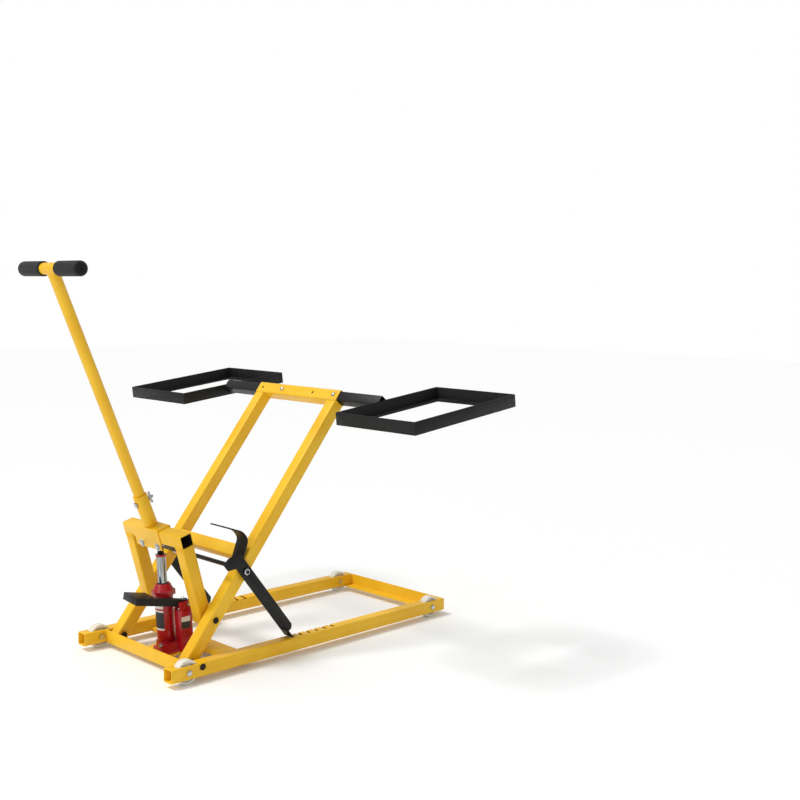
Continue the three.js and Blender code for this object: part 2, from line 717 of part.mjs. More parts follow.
// The sleeve's foot is cut level with the saddle it stands on.
function sleeve() {
  const foot = SLEEVE_RADIUS;
  const floor = block(
    [-2 * foot, -2 * foot, -2 * foot],
    [2 * foot, 2 * foot, SEAT_GAP],
  ).rotate([0, THREE.MathUtils.radToDeg(HANDLE_LEAN - PORTAL_LEAN), 0]);
  const outer = rod("z", SLEEVE_RADIUS, -foot, SLEEVE_LENGTH, [0, 0, 0], FINE_STEPS);
  const hollow = rod("z", HANDLE_RADIUS + SEAT_GAP, -foot - OVERRUN, SLEEVE_LENGTH + OVERRUN);
  const across = SLEEVE_RADIUS + OVERRUN;
  const bore = rod("x", CLAMP_BOLT_RADIUS + SEAT_GAP, -across, across, [0, 0, CLAMP_BOLT_STATION]);
  return outer.subtract(hollow).subtract(bore).subtract(floor);
}

// The handle's tube and its cross tube are one welded piece, open at the foot and at both ends.
function handleTube() {
  const inner = HANDLE_RADIUS - HANDLE_WALL;
  const half = CROSS_TUBE_LENGTH / 2;
  const top = [0, 0, HANDLE_LENGTH];
  const upright = rod("z", HANDLE_RADIUS, HANDLE_LIFT, HANDLE_LENGTH);
  const cross = rod("y", HANDLE_RADIUS, -half, half, top);
  const hollow = rod("z", inner, HANDLE_LIFT - OVERRUN, HANDLE_LENGTH);
  const crossHollow = rod("y", inner, -half - OVERRUN, half + OVERRUN, top);
  const across = SLEEVE_RADIUS + OVERRUN;
  const bore = rod("x", CLAMP_BOLT_RADIUS + SEAT_GAP, -across, across, [0, 0, CLAMP_BOLT_STATION]);
  return upright.add(cross).subtract(hollow).subtract(crossHollow).subtract(bore);
}

// A foam grip with a rounded end and a small hole in the middle of it.
function grip() {
  const bore = HANDLE_RADIUS + SEAT_GAP;
  const end = GRIP_ROUND;
  const shoulder = GRIP_RADIUS - GRIP_ROUND / 2;
  return revolve([
    [bore, -GRIP_LENGTH],
    [shoulder, -GRIP_LENGTH],
    [GRIP_RADIUS, GRIP_ROUND / 2 - GRIP_LENGTH],
    [GRIP_RADIUS, 0],
    [shoulder, end * GRIP_SHOULDER_SHARE],
    [GRIP_RADIUS - end, end],
    [GRIP_END_HOLE, end],
    [GRIP_END_HOLE, SEAT_GAP],
    [bore, SEAT_GAP],
    [bore, -GRIP_LENGTH],
  ]);
}

// The clamp bolt goes through sleeve and handle and has a wing nut on its rear end.
function clampBolt() {
  const face = SLEEVE_RADIUS + SEAT_GAP;
  const tip = face + WING_REACH;
  const shank = rod("x", CLAMP_BOLT_RADIUS, -face, tip);
  return shank.add(rod("x", NUT_FLATS_RADIUS, -face - LOCK_HEAD_HEIGHT, -face, [0, 0, 0], HEX_STEPS));
}

// The wing nut has two flat wings on a round boss.
function wingNut() {
  const from = SLEEVE_RADIUS + 2 * SEAT_GAP;
  const to = from + WING_WIDTH;
  const bore = CLAMP_BOLT_RADIUS + SEAT_GAP;
  const wing = block(
    [from + WING_WALL, -WING_WALL / 2, -WING_REACH],
    [to + WING_WALL, WING_WALL / 2, WING_REACH],
  );
  return rod("x", CLAMP_BOLT_RADIUS * 2, from, to)
    .add(wing)
    .subtract(rod("x", bore, from - OVERRUN, to + WING_WALL + OVERRUN));
}

function addPortal() {
  const half = PORTAL_WIDTH / 2;
  for (const [word, side] of SIDES) portal.add(piece(`${word}_portal_leg`, leg(side), YELLOW));
  const beamPlace = [0, 0, LEG_LENGTH + TUBE / 2];
  portal.add(piece("portal_beam", tube(TUBE, TUBE_WALL, TUBE_CORNER, "y", -half, half, beamPlace), YELLOW));
  portal.add(piece("handle_saddle", saddle(), YELLOW));
  saddleBoltPlaces().forEach((y, i) => {
    const bolt = piece(`${SIDES[i][0]}_saddle_bolt`, saddleBolt(), STEEL);
    portal.add(placed(bolt, 0, y, LEG_LENGTH - SADDLE_BOLT_DROP));
  });
  handle.add(piece("handle_sleeve", sleeve(), YELLOW));
  handle.add(piece("push_handle", handleTube(), YELLOW));
  for (const [word, side] of SIDES) {
    const turn = side > 0 ? -90 : 90;
    const body = grip().rotate([turn, 0, 0]).translate([0, (side * CROSS_TUBE_LENGTH) / 2, HANDLE_LENGTH]);
    handle.add(piece(`${word}_grip`, body, FOAM));
  }
  handle.add(placed(piece("clamp_bolt", clampBolt(), STEEL), 0, 0, CLAMP_BOLT_STATION));
  handle.add(placed(piece("wing_nut", wingNut(), STEEL), 0, 0, CLAMP_BOLT_STATION));
}

// The jack stands on a plate that slopes down to the front, so its ram leans forward with it.
const slope = frameAt(lift, PLATE_FRONT, FLANGE_TOP + SEAT_GAP, JACK_LEAN);
const jack = new THREE.Group();
jack.position.set(JACK_STATION, 0, PLATE_WALL + SEAT_GAP);
slope.add(jack);
const pump = new THREE.Group();
pump.rotation.z = -JACK_YAW;
jack.add(pump);

const BODY_FOOT = JACK_BASE_HEIGHT;
const BODY_TOP = BODY_FOOT + JACK_BODY_HEIGHT;
const CAP_TOP = BODY_TOP + JACK_CAP_HEIGHT;
const RAM_TOP = CAP_TOP + RAM_OUT;

// The cast base: a lipped foot that narrows to a block under the cylinder and the pump.
const BASE_SHIFT = JACK_BASE_LENGTH / 2 - JACK_BASE_BEHIND;
const VALVE_SEAT = BASE_SHIFT - JACK_BASE_LENGTH / 2 + JACK_BASE_LIP + VALVE_DEPTH;
function jackBase() {
  const length = JACK_BASE_LENGTH;
  const width = JACK_BASE_WIDTH;
  const shift = [BASE_SHIFT, (JACK_BODY_RADIUS - PUMP_ASIDE) / 2, 0];
  const foot = bar(length, width, JACK_BASE_CORNER, "z", 0, JACK_BASE_LIP, shift);
  const inset = JACK_BASE_LIP * 2;
  const upper = bar(length - inset, width - inset, JACK_BASE_CORNER, "z", 0, JACK_BASE_HEIGHT, shift);
  const pumpPlace = [PUMP_AHEAD, -PUMP_ASIDE, 0];
  const pumpFoot = bar(PUMP_LENGTH, PUMP_WIDTH, PUMP_CORNER, "z", 0, JACK_BASE_HEIGHT, pumpPlace);
  const valve = [0, -PUMP_ASIDE / 2, VALVE_HEIGHT];
  const bore = rod("x", VALVE_RADIUS + RUNNING_GAP, -length, VALVE_SEAT, valve);
  return foot.add(upper).add(pumpFoot).subtract(bore);
}

// The cylinder stands on the base, round the ram.
function jackCylinder() {
  const bore = RAM_RADIUS + RUNNING_GAP;
  return revolve([
    [bore, BODY_FOOT + SEAT_GAP],
    [JACK_BODY_RADIUS, BODY_FOOT + SEAT_GAP],
    [JACK_BODY_RADIUS, BODY_TOP],
    [bore, BODY_TOP],
    [bore, BODY_FOOT + SEAT_GAP],
  ], FINE_STEPS);
}

// The cap is a hexagon with a sloping neck round the ram.
function jackCap() {
  const from = BODY_TOP + SEAT_GAP;
  const shoulder = from + JACK_CAP_HEIGHT * CAP_SKIRT_SHARE;
  const skirt = rod("z", JACK_CAP_RADIUS, from, shoulder, [0, 0, 0], HEX_STEPS);
  const neck = revolve([
    [0, from],
    [JACK_CAP_RADIUS * CAP_SHOULDER_SHARE, from],
    [JACK_CAP_RADIUS * CAP_SHOULDER_SHARE, shoulder],
    [JACK_NECK_RADIUS + WHEEL_CROWN, CAP_TOP - 2 * WHEEL_CROWN],
    [JACK_NECK_RADIUS, CAP_TOP],
    [0, CAP_TOP],
  ], FINE_STEPS);
  return skirt.add(neck).subtract(rod("z", RAM_RADIUS + RUNNING_GAP, BODY_FOOT, CAP_TOP + OVERRUN));
}

function ram() {
  const collar = RAM_TOP - RAM_COLLAR_HEIGHT;
  const screw = SCREW_RADIUS + RUNNING_GAP;
  return revolve([
    [0, CAP_TOP - RAM_IN],
    [RAM_RADIUS, CAP_TOP - RAM_IN],
    [RAM_RADIUS, collar],
    [RAM_COLLAR_RADIUS, collar],
    [RAM_COLLAR_RADIUS, RAM_TOP],
    [screw, RAM_TOP],
    [screw, RAM_TOP - SCREW_IN - RUNNING_GAP],
    [0, RAM_TOP - SCREW_IN - RUNNING_GAP],
  ]);
}

// The extension screw reaches from inside the ram to the underside of the beam.
const CONTACT = contactHeight();
function contactHeight() {
  const lean = PORTAL_LEAN - JACK_LEAN;
  const dx = LEG_X - (PLATE_FRONT + JACK_STATION * Math.cos(JACK_LEAN));
  const dz = LEG_Z - (FLANGE_TOP + SEAT_GAP + JACK_STATION * Math.sin(JACK_LEAN));
  const along = dz * Math.cos(JACK_LEAN) - dx * Math.sin(JACK_LEAN) - PLATE_WALL - SEAT_GAP;
  const aside = dx * Math.cos(JACK_LEAN) + dz * Math.sin(JACK_LEAN);
  return along + (LEG_LENGTH - aside * Math.sin(lean)) / Math.cos(lean);
}

function extensionScrew() {
  const tipRadius = SCREW_HEAD_RADIUS * SCREW_TIP_SHARE;
  const tip = CONTACT - HEAD_PLAY - tipRadius * Math.tan(PORTAL_LEAN - JACK_LEAN);
  const dome = tip - SCREW_DOME;
  const neck = dome - SCREW_HEAD_HEIGHT;
  return revolve([
    [0, RAM_TOP - SCREW_IN],
    [SCREW_RADIUS, RAM_TOP - SCREW_IN],
    [SCREW_RADIUS, neck],
    [SCREW_HEAD_RADIUS, neck],
    [SCREW_HEAD_RADIUS, dome],
    [SCREW_HEAD_RADIUS * SCREW_CROWN_SHARE, dome + SCREW_DOME * SCREW_RISE_SHARE],
    [tipRadius, tip],
    [0, tip],
  ]);
}

// The pump block is bored for its piston and carries two ears for the lever's fulcrum.
function pumpBlock() {
  const from = BODY_FOOT + SEAT_GAP;
  const top = BODY_FOOT + PUMP_HEIGHT;
  const place = [PUMP_AHEAD, -PUMP_ASIDE, 0];
  let body = bar(PUMP_LENGTH, PUMP_WIDTH, PUMP_CORNER, "z", from, top, place);
  const rear = PUMP_AHEAD + PUMP_LENGTH / 2;
  const low = top - EAR_HEIGHT;
  const high = FULCRUM_Z + EAR_RISE;
  for (const side of [-1, 1]) {
    const inside = -PUMP_ASIDE + side * (LEVER_WIDTH / 2 + RUNNING_GAP);
    const outside = inside + side * EAR_WALL;
    const [a, b] = [Math.min(inside, outside), Math.max(inside, outside)];
    body = body.add(block([rear - EAR_LENGTH, a, low], [rear, b, high]));
  }
  body = body.subtract(
    rod("z", PISTON_RADIUS + RUNNING_GAP, top - PUMP_BORE_DEPTH, top + OVERRUN, [PISTON_X, -PUMP_ASIDE, 0]),
  );
  const across = PUMP_WIDTH / 2 + OVERRUN;
  const pin = [FULCRUM_X, -PUMP_ASIDE, FULCRUM_Z];
  return body.subtract(rod("y", FULCRUM_RADIUS + SEAT_GAP, -across, across, pin));
}
const FULCRUM_X = PUMP_AHEAD + PUMP_LENGTH / 2 - FULCRUM_BEHIND;
const FULCRUM_Z = BODY_FOOT + PUMP_HEIGHT + FULCRUM_RISE - LEVER_HEIGHT / 2;
const PISTON_X = PUMP_AHEAD - PUMP_LENGTH / 2 + PUMP_CORNER + PISTON_RADIUS / 2;

function piston() {
  const ahead = FULCRUM_X - PISTON_X - PISTON_RADIUS;
  const underLever = LEVER_HEIGHT / 2 / Math.cos(LEVER_PITCH) + SEAT_GAP;
  const top = FULCRUM_Z + ahead * Math.tan(LEVER_PITCH) - underLever;
  const foot = BODY_FOOT + PUMP_HEIGHT - PISTON_IN;
  return revolve([
    [0, foot],
    [PISTON_RADIUS, foot],
    [PISTON_RADIUS, top - PISTON_CROWN],
    [PISTON_RADIUS - PISTON_CROWN, top],
    [0, top],
  ]);
}

// The pump lever runs forward from its fulcrum and ends in a lipped foot plate.
const lever = new THREE.Group();
lever.position.set(FULCRUM_X, -PUMP_ASIDE, FULCRUM_Z);
lever.rotation.y = LEVER_PITCH;
pump.add(lever);

function leverBar() {
  const back = FULCRUM_RADIUS + EAR_WALL;
  const outer = block(
    [-LEVER_LENGTH, -LEVER_WIDTH / 2, -LEVER_HEIGHT / 2],
    [back, LEVER_WIDTH / 2, LEVER_HEIGHT / 2],
  );
  const hollow = block(
    [-LEVER_LENGTH - OVERRUN, LEVER_WALL - LEVER_WIDTH / 2, LEVER_WALL - LEVER_HEIGHT / 2],
    [-back, LEVER_WIDTH / 2 - LEVER_WALL, LEVER_HEIGHT / 2 - LEVER_WALL],
  );
  const bore = rod("y", FULCRUM_RADIUS + SEAT_GAP, -LEVER_WIDTH, LEVER_WIDTH);
  return outer.subtract(hollow).subtract(bore);
}

function pedal() {
  const from = -LEVER_LENGTH - SEAT_GAP;
  const front = from - PEDAL_LENGTH;
  const [a, b] = [-LEVER_WIDTH / 2, PEDAL_WIDTH - LEVER_WIDTH / 2];
  const top = LEVER_HEIGHT / 2;
  const plate = block([front, a, top - PEDAL_WALL], [from, b, top]);
  const lip = block([front, a, top - PEDAL_LIP], [front + PEDAL_WALL, b, top]);
  const web = block([front, a, top - PEDAL_LIP], [from, a + PEDAL_WALL, top]);
  const rearLip = block([from - PEDAL_WALL, a, top - PEDAL_LIP], [from, b, top]);
  return plate.add(lip).add(web).add(rearLip);
}

// The fulcrum pin has a flat head at its near end.
function fulcrumPin() {
  const half = LEVER_WIDTH / 2 + EAR_WALL + 2 * RUNNING_GAP;
  const head = rod("y", FULCRUM_HEAD_RADIUS, -half - LEVER_WALL, -half);
  return rod("y", FULCRUM_RADIUS, -half, half + LEVER_WALL).add(head);
}

// The release valve is a slotted screw low in the front of the base.
function releaseValve() {
  const knob = revolve([
    [0, 0],
    [VALVE_RADIUS, 0],
    [VALVE_RADIUS, VALVE_LENGTH],
    [0, VALVE_LENGTH],
  ]).rotate([0, -90, 0]);
  const slot = block(
    [-VALVE_LENGTH - OVERRUN, -VALVE_SLOT_WIDTH / 2, -VALVE_RADIUS * 2],
    [VALVE_SLOT_DEPTH - VALVE_LENGTH, VALVE_SLOT_WIDTH / 2, VALVE_RADIUS * 2],
  );
  return knob.subtract(slot);
}

function addJack() {
  const plate = block([0, -PLATE_WIDTH / 2, 0], [PLATE_LENGTH, PLATE_WIDTH / 2, PLATE_WALL]);
  slope.add(piece("jack_plate", plate, YELLOW));
  pump.add(piece("jack_base", jackBase(), RED));
  pump.add(piece("jack_cylinder", jackCylinder(), RED));
  pump.add(piece("jack_cap", jackCap(), RED));
  pump.add(piece("jack_ram", ram(), STEEL));
  pump.add(piece("extension_screw", extensionScrew(), DARK_STEEL));
  pump.add(piece("pump_block", pumpBlock(), RED));
  pump.add(placed(piece("pump_piston", piston(), STEEL), PISTON_X, -PUMP_ASIDE, 0));
  pump.add(placed(piece("fulcrum_pin", fulcrumPin(), STEEL), FULCRUM_X, -PUMP_ASIDE, FULCRUM_Z));
  lever.add(piece("pump_lever", leverBar(), BLACK));
  lever.add(piece("foot_pedal", pedal(), BLACK));
  const valve = piece("release_valve", releaseValve(), STEEL);
  pump.add(placed(valve, VALVE_SEAT - RUNNING_GAP, -PUMP_ASIDE / 2, VALVE_HEIGHT));
}

// The safety latches: a flat bar outside each arm, joined by a strap above the arms.
const latch = frameAt(armFrame, LATCH_STATION, 0, -LATCH_ANGLE - ARM_ANGLE);

function latchBar(side) {
  const inner = ARM_SPREAD / 2 + LATCH_SPACER;
  const span = [side * inner, side * (inner + LATCH_WALL)];
  const [from, to] = [Math.min(...span), Math.max(...span)];
  const half = LATCH_WIDTH / 2;
  const notch = half / 2;
  const lugHalf = LUG_WIDTH / 2;
  const outline = [
    [LATCH_LENGTH, -half],
    [LATCH_LENGTH, notch],
    [LATCH_LENGTH - notch, half],
    [notch - LATCH_BACK, half],
    [-LATCH_BACK, notch],
    [-LATCH_BACK - notch, -half],
    [-STRAP_BACK - lugHalf, -STRAP_DROP - lugHalf],
    [-STRAP_BACK + lugHalf, -STRAP_DROP - lugHalf],
    [-LATCH_BACK / 2, -half],
  ];
  const plate = sideProfile(outline, from, to);
  const tongue = tongueOf(side);
  return plate.add(tongue).subtract(rod("y", PIVOT_RADIUS + RUNNING_GAP, from - OVERRUN, to + OVERRUN));
}

// The tongue stands out from the bar's tip, over the slots of the rail.
function tongueOf(side) {
  const inner = ARM_SPREAD / 2 + LATCH_SPACER;
  const reach = side * (inner + LATCH_WALL + TONGUE_REACH);
  const span = [side * (inner + LATCH_WALL / 2), reach];
  const half = LATCH_WIDTH / 2;
  return block(
    [LATCH_LENGTH - TONGUE_LENGTH, Math.min(...span), -half],
    [LATCH_LENGTH, Math.max(...span), TONGUE_WALL - half],
  );
}

function addLatches() {
  const inner = ARM_SPREAD / 2 + LATCH_SPACER;
  for (const [word, side] of SIDES) {
    latch.add(piece(`${word}_latch_bar`, latchBar(side), BLACK));
    const outer = side * (inner + LATCH_WALL + SEAT_GAP);
    const nutEnd = outer + side * NUT_HEIGHT;
    const end = side * (ARM_INSIDE - SEAT_GAP);
    const bolt = rod("y", PIVOT_RADIUS, Math.min(outer, end), Math.max(outer, end));
    const [low, high] = [Math.min(outer, nutEnd), Math.max(outer, nutEnd)];
    const nut = rod("y", LATCH_NUT_RADIUS, low, high, [0, 0, 0], HEX_STEPS);
    const headEnd = end - side * PIVOT_HEAD_HEIGHT;
    const head = rod("y", PIVOT_HEAD_RADIUS, Math.min(end, headEnd), Math.max(end, headEnd));
    armFrame.add(placed(piece(`${word}_latch_pivot`, bolt.add(nut).add(head), STEEL), LATCH_STATION, 0, 0));
  }
  const across = inner - SEAT_GAP;
  const strap = block(
    [-STRAP_BACK - STRAP_WIDTH / 2, -across, -STRAP_DROP - STRAP_WALL / 2],
    [-STRAP_BACK + STRAP_WIDTH / 2, across, -STRAP_DROP + STRAP_WALL / 2],
  );
  latch.add(piece("latch_strap", strap, BLACK));
  const path = [
    [-LATCH_BACK / 2, LATCH_WIDTH / 2 - STEP_WALL],
    [-LATCH_BACK, STEP_BULGE],
    [-STEP_BACK / 2 - STEP_BEND / 2, STEP_BULGE],
    [-STEP_BACK, STEP_TIP],
  ];
  const from = -inner + SEAT_GAP;
  latch.add(piece("latch_step", bentStrip(path, STEP_BEND / 2, STEP_WALL, from, from + STEP_WIDTH), BLACK));
}

addPortal();
addJack();
addLatches();

// The origin is moved to the floor under the middle of the whole lift.
const bounds = new THREE.Box3().setFromObject(lift, true);
const middle = bounds.getCenter(new THREE.Vector3());
lift.position.set(-middle.x, -middle.y, -bounds.min.z);

export default lift;
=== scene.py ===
# %% [markdown]
# A lawn mower lift in yellow paint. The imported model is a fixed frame: every tube, bolt and lever already
# has its size and place, so the work here is edges, curves and finishes. A real weldment has no sharp
# edges, because the tube is rolled and the paint rounds what is left, and that is what catches the light.

import math

import bpy
from mathutils import Color, Matrix, Vector
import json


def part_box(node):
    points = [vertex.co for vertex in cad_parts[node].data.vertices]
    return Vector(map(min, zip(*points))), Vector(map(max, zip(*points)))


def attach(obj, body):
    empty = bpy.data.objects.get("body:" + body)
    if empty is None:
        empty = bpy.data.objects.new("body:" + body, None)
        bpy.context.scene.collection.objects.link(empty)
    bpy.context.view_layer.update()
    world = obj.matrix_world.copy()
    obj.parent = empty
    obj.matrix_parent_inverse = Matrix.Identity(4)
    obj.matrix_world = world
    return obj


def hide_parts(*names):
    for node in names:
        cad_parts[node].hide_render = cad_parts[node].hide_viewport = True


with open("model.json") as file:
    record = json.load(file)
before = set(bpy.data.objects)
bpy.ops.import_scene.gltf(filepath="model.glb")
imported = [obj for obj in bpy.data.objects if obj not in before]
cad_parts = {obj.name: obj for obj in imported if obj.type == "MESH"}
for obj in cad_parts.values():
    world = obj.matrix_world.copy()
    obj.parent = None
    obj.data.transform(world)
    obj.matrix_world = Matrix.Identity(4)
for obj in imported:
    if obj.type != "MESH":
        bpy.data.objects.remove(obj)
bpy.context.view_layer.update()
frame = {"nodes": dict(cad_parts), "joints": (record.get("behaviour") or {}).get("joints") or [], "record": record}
joints = {joint["name"]: joint for joint in frame["joints"]}
bodies = frame["record"]["behaviour"]["bodies"]
body_of = {node: body for body, nodes in bodies.items() for node in nodes}
slot_of = {part["node"]: part["material_slot"] for part in frame["record"]["subparts"]}
MM = 0.001

# %% [markdown]
# The camera stands in front of the pedal end at hip height and looks slightly down. Its place is measured
# from the middle of the rails, and its lens was found from the converging rails. The focal length is
# given in picture widths, so it holds at any render size.

# %% Camera
EYE_BACK = 2.1793
EYE_ASIDE = 2.7177
EYE_HEIGHT = 1.0553
CAMERA_AZIMUTH = math.radians(-45.135)
CAMERA_ELEVATION = math.radians(5.519)
CAMERA_ROLL = math.radians(0.687)
FOCAL_WIDTHS = 1.4337
SENSOR = 36.0

rail_low, rail_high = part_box("near_rail")
eye = Vector(((rail_low.x + rail_high.x) / 2 - EYE_BACK, -EYE_ASIDE, EYE_HEIGHT))
camera_data = bpy.data.cameras.new("camera")
camera = bpy.data.objects.new("camera", camera_data)
bpy.context.scene.collection.objects.link(camera)
camera_data.sensor_width = SENSOR
camera_data.lens = FOCAL_WIDTHS * SENSOR
back = Vector((
    math.sin(CAMERA_AZIMUTH) * math.cos(CAMERA_ELEVATION),
    -math.cos(CAMERA_AZIMUTH) * math.cos(CAMERA_ELEVATION),
    math.sin(CAMERA_ELEVATION),
))
right = Vector((math.cos(CAMERA_AZIMUTH), math.sin(CAMERA_AZIMUTH), 0))
up = back.cross(right)
rolled_right = right * math.cos(CAMERA_ROLL) + up * math.sin(CAMERA_ROLL)
rolled_up = up * math.cos(CAMERA_ROLL) - right * math.sin(CAMERA_ROLL)
aim = Matrix((rolled_right, rolled_up, back)).transposed().to_4x4()
camera.matrix_world = Matrix.Translation(eye) @ aim
bpy.context.scene.camera = camera
print("camera", [round(v, 3) for v in eye], "lens", round(camera_data.lens, 1))

# %% [markdown]
# The photograph is a studio cut-out on white, lit softly from above and a little from the left. A broad
# sun gives the light from above and a weak square lamp the light from the side.

# %% Lights
SIDE_LAMP_PLACE = Vector((-3.2, 0.4, 1.9))
SIDE_LAMP_AIM = Vector((0, 0, 0.4))
SIDE_LAMP_SIZE = 1.6
SIDE_LAMP_WATTS = 16
SKY_RAYS = Vector((0.42, -0.3, -1))
SKY_STRENGTH = 1.75
SKY_SPREAD = math.radians(16)

scene = bpy.context.scene
scene.view_settings.view_transform = "Standard"


def light(name, kind, energy, rays):
    """A light that shines along its rays."""
    data = bpy.data.lights.new(name, kind)
    data.energy = energy
    source = bpy.data.objects.new(name, data)
    scene.collection.objects.link(source)
    source.rotation_euler = rays.to_track_quat("-Z", "Y").to_euler()
    return source


side_lamp = light("side_lamp", "AREA", SIDE_LAMP_WATTS, SIDE_LAMP_AIM - SIDE_LAMP_PLACE)
side_lamp.location = SIDE_LAMP_PLACE
side_lamp.data.shape = "SQUARE"
side_lamp.data.size = SIDE_LAMP_SIZE
sky = light("sky_light", "SUN", SKY_STRENGTH, SKY_RAYS)
sky.data.angle = SKY_SPREAD
print("lights", side_lamp.name, sky.name)

# %% [markdown]
# The backdrop is the world itself. The camera sees it pure white, while the object is lit by a weaker
# glow from all sides, so that pale surfaces keep their shading.

# %% World
WORLD_GLOW = 0.5
BACKDROP_GLOW = 1.0
WHITE = (1, 1, 1, 1)

world = bpy.data.worlds.new("studio")
scene.world = world
world.use_nodes = True
world_tree = world.node_tree
world_tree.nodes.clear()


def glow(strength):
    """White light of one strength from everywhere."""
    node = world_tree.nodes.new("ShaderNodeBackground")
    node.inputs["Color"].default_value = WHITE
    node.inputs["Strength"].default_value = strength
    return node.outputs[0]


path = world_tree.nodes.new("ShaderNodeLightPath")
seen = world_tree.nodes.new("ShaderNodeMath")
seen.operation = "MAXIMUM"
choice = world_tree.nodes.new("ShaderNodeMixShader")
output = world_tree.nodes.new("ShaderNodeOutputWorld")
world_tree.links.new(path.outputs["Is Camera Ray"], seen.inputs[0])
world_tree.links.new(path.outputs["Is Transmission Ray"], seen.inputs[1])
world_tree.links.new(seen.outputs[0], choice.inputs[0])
world_tree.links.new(glow(WORLD_GLOW), choice.inputs[1])
world_tree.links.new(glow(BACKDROP_GLOW), choice.inputs[2])
world_tree.links.new(choice.outputs[0], output.inputs["Surface"])
print("world", world.name, "glow", WORLD_GLOW)

# %% [markdown]
# The floor is plain and pale and keeps the object's shadow. A faint glow that only the camera sees brings
# it near the white of the backdrop.

# %% Floor
FLOOR_SIZE = 30
FLOOR_DROP = 0.5 * MM
FLOOR_COLOUR = (0.95, 0.96, 0.95, 1)
FLOOR_ROUGHNESS = 0.75
FLOOR_GLOW = 0.06

bpy.ops.mesh.primitive_plane_add(size=FLOOR_SIZE, location=(0, 0, -FLOOR_DROP))
floor = bpy.context.active_object
floor.name = "floor"
floor_paint = bpy.data.materials.new("pale_floor")
floor_paint.use_nodes = True
floor_tree = floor_paint.node_tree
floor_shader = floor_tree.nodes["Principled BSDF"]
floor_shader.inputs["Base Color"].default_value = FLOOR_COLOUR
floor_shader.inputs["Roughness"].default_value = FLOOR_ROUGHNESS
floor_shader.inputs["Emission Color"].default_value = WHITE
floor_path = floor_tree.nodes.new("ShaderNodeLightPath")
floor_lift = floor_tree.nodes.new("ShaderNodeMath")
floor_lift.operation = "MULTIPLY"
floor_lift.inputs[1].default_value = FLOOR_GLOW
floor_tree.links.new(floor_path.outputs["Is Camera Ray"], floor_lift.inputs[0])
floor_tree.links.new(floor_lift.outputs[0], floor_shader.inputs["Emission Strength"])
floor.data.materials.append(floor_paint)
print("floor", FLOOR_SIZE, "m wide")

# %% [markdown]
# Paint on welded tube is never one flat colour: the powder flows into a faint orange peel, it is a little
# darker where it is thin, and its gloss changes slowly along a tube. So a finish is built from noise in
# object coordinates: a slow noise for the tone, a finer one for the gloss and the finest for the bump.

# %% A finish from noise
FULL_TONE = 255
TONE_FIELD = (0.35, 0.65)
GLOSS_FIELD = (0.3, 0.7)


def tone(code):
    """A colour code as linear light."""
    parts = [part / FULL_TONE for part in bytes.fromhex(code[1:])]
    return (*Color(parts).from_srgb_to_scene_linear(), 1)


class Finish:
    """A surface finish built from noise in object coordinates."""

    def __init__(self, name, **settings):
        self.material = bpy.data.materials.new(name)
        self.material.use_nodes = True
        self.tree = self.material.node_tree
        self.shader = self.tree.nodes["Principled BSDF"]
        self.place = self.tree.nodes.new("ShaderNodeTexCoord").outputs["Object"]
        for key, value in settings.items():
            self.shader.inputs[key.replace("_", " ")].default_value = value

    def noise(self, scale, detail=3, stretch=None):
        """A field of noise, which a small stretch draws out along an axis."""
        node = self.tree.nodes.new("ShaderNodeTexNoise")
        node.inputs["Scale"].default_value = scale
        node.inputs["Detail"].default_value = detail
        source = self.place
        if stretch:
            mapping = self.tree.nodes.new("ShaderNodeMapping")
            mapping.inputs["Scale"].default_value = stretch
            self.tree.links.new(source, mapping.inputs["Vector"])
            source = mapping.outputs["Vector"]
        self.tree.links.new(source, node.inputs["Vector"])
        return node.outputs["Fac"]

    def tones(self, low, high, field):
        """Two colours that a field blends."""
        ramp = self.tree.nodes.new("ShaderNodeValToRGB")
        for stop, position, code in zip(ramp.color_ramp.elements, TONE_FIELD, (low, high)):
            stop.position = position
            stop.color = tone(code)
        self.tree.links.new(field, ramp.inputs["Fac"])
        self.tree.links.new(ramp.outputs["Color"], self.shader.inputs["Base Color"])

    def gloss(self, low, high, field):
        """Roughness between two values."""
        spread = self.tree.nodes.new("ShaderNodeMapRange")
        spread.inputs["From Min"].default_value = GLOSS_FIELD[0]
        spread.inputs["From Max"].default_value = GLOSS_FIELD[1]
        spread.inputs["To Min"].default_value = low
        spread.inputs["To Max"].default_value = high
        self.tree.links.new(field, spread.inputs["Value"])
        self.tree.links.new(spread.outputs["Result"], self.shader.inputs["Roughness"])

    def bump(self, depth, strength, field):
        """Fine relief of a depth in metres."""
        node = self.tree.nodes.new("ShaderNodeBump")
        node.inputs["Distance"].default_value = depth
        node.inputs["Strength"].default_value = strength
        self.tree.links.new(field, node.inputs["Height"])
        self.tree.links.new(node.outputs["Normal"], self.shader.inputs["Normal"])


# %% [markdown]
# The frame is powder coated in yellow, and its trays, latches and lever in black, which comes out a little
# rougher. The jack is sprayed in red enamel, with a thin clear coat on top.

# %% Paints


def painted_yellow():
    paint = Finish("yellow_powder_coat", Specular_IOR_Level=0.32)
    paint.tones("#f3bb1e", "#fac72b", paint.noise(scale=9))
    paint.gloss(low=0.30, high=0.40, field=paint.noise(scale=40))
    paint.bump(depth=0.08 * MM, strength=0.5, field=paint.noise(scale=700, detail=2))
    return paint.material


def painted_black():
    paint = Finish("black_powder_coat", Specular_IOR_Level=0.3)
    paint.tones("#0d0d0d", "#161616", paint.noise(scale=14))
    paint.gloss(low=0.36, high=0.52, field=paint.noise(scale=60))
    paint.bump(depth=0.12 * MM, strength=0.7, field=paint.noise(scale=900))
    return paint.material


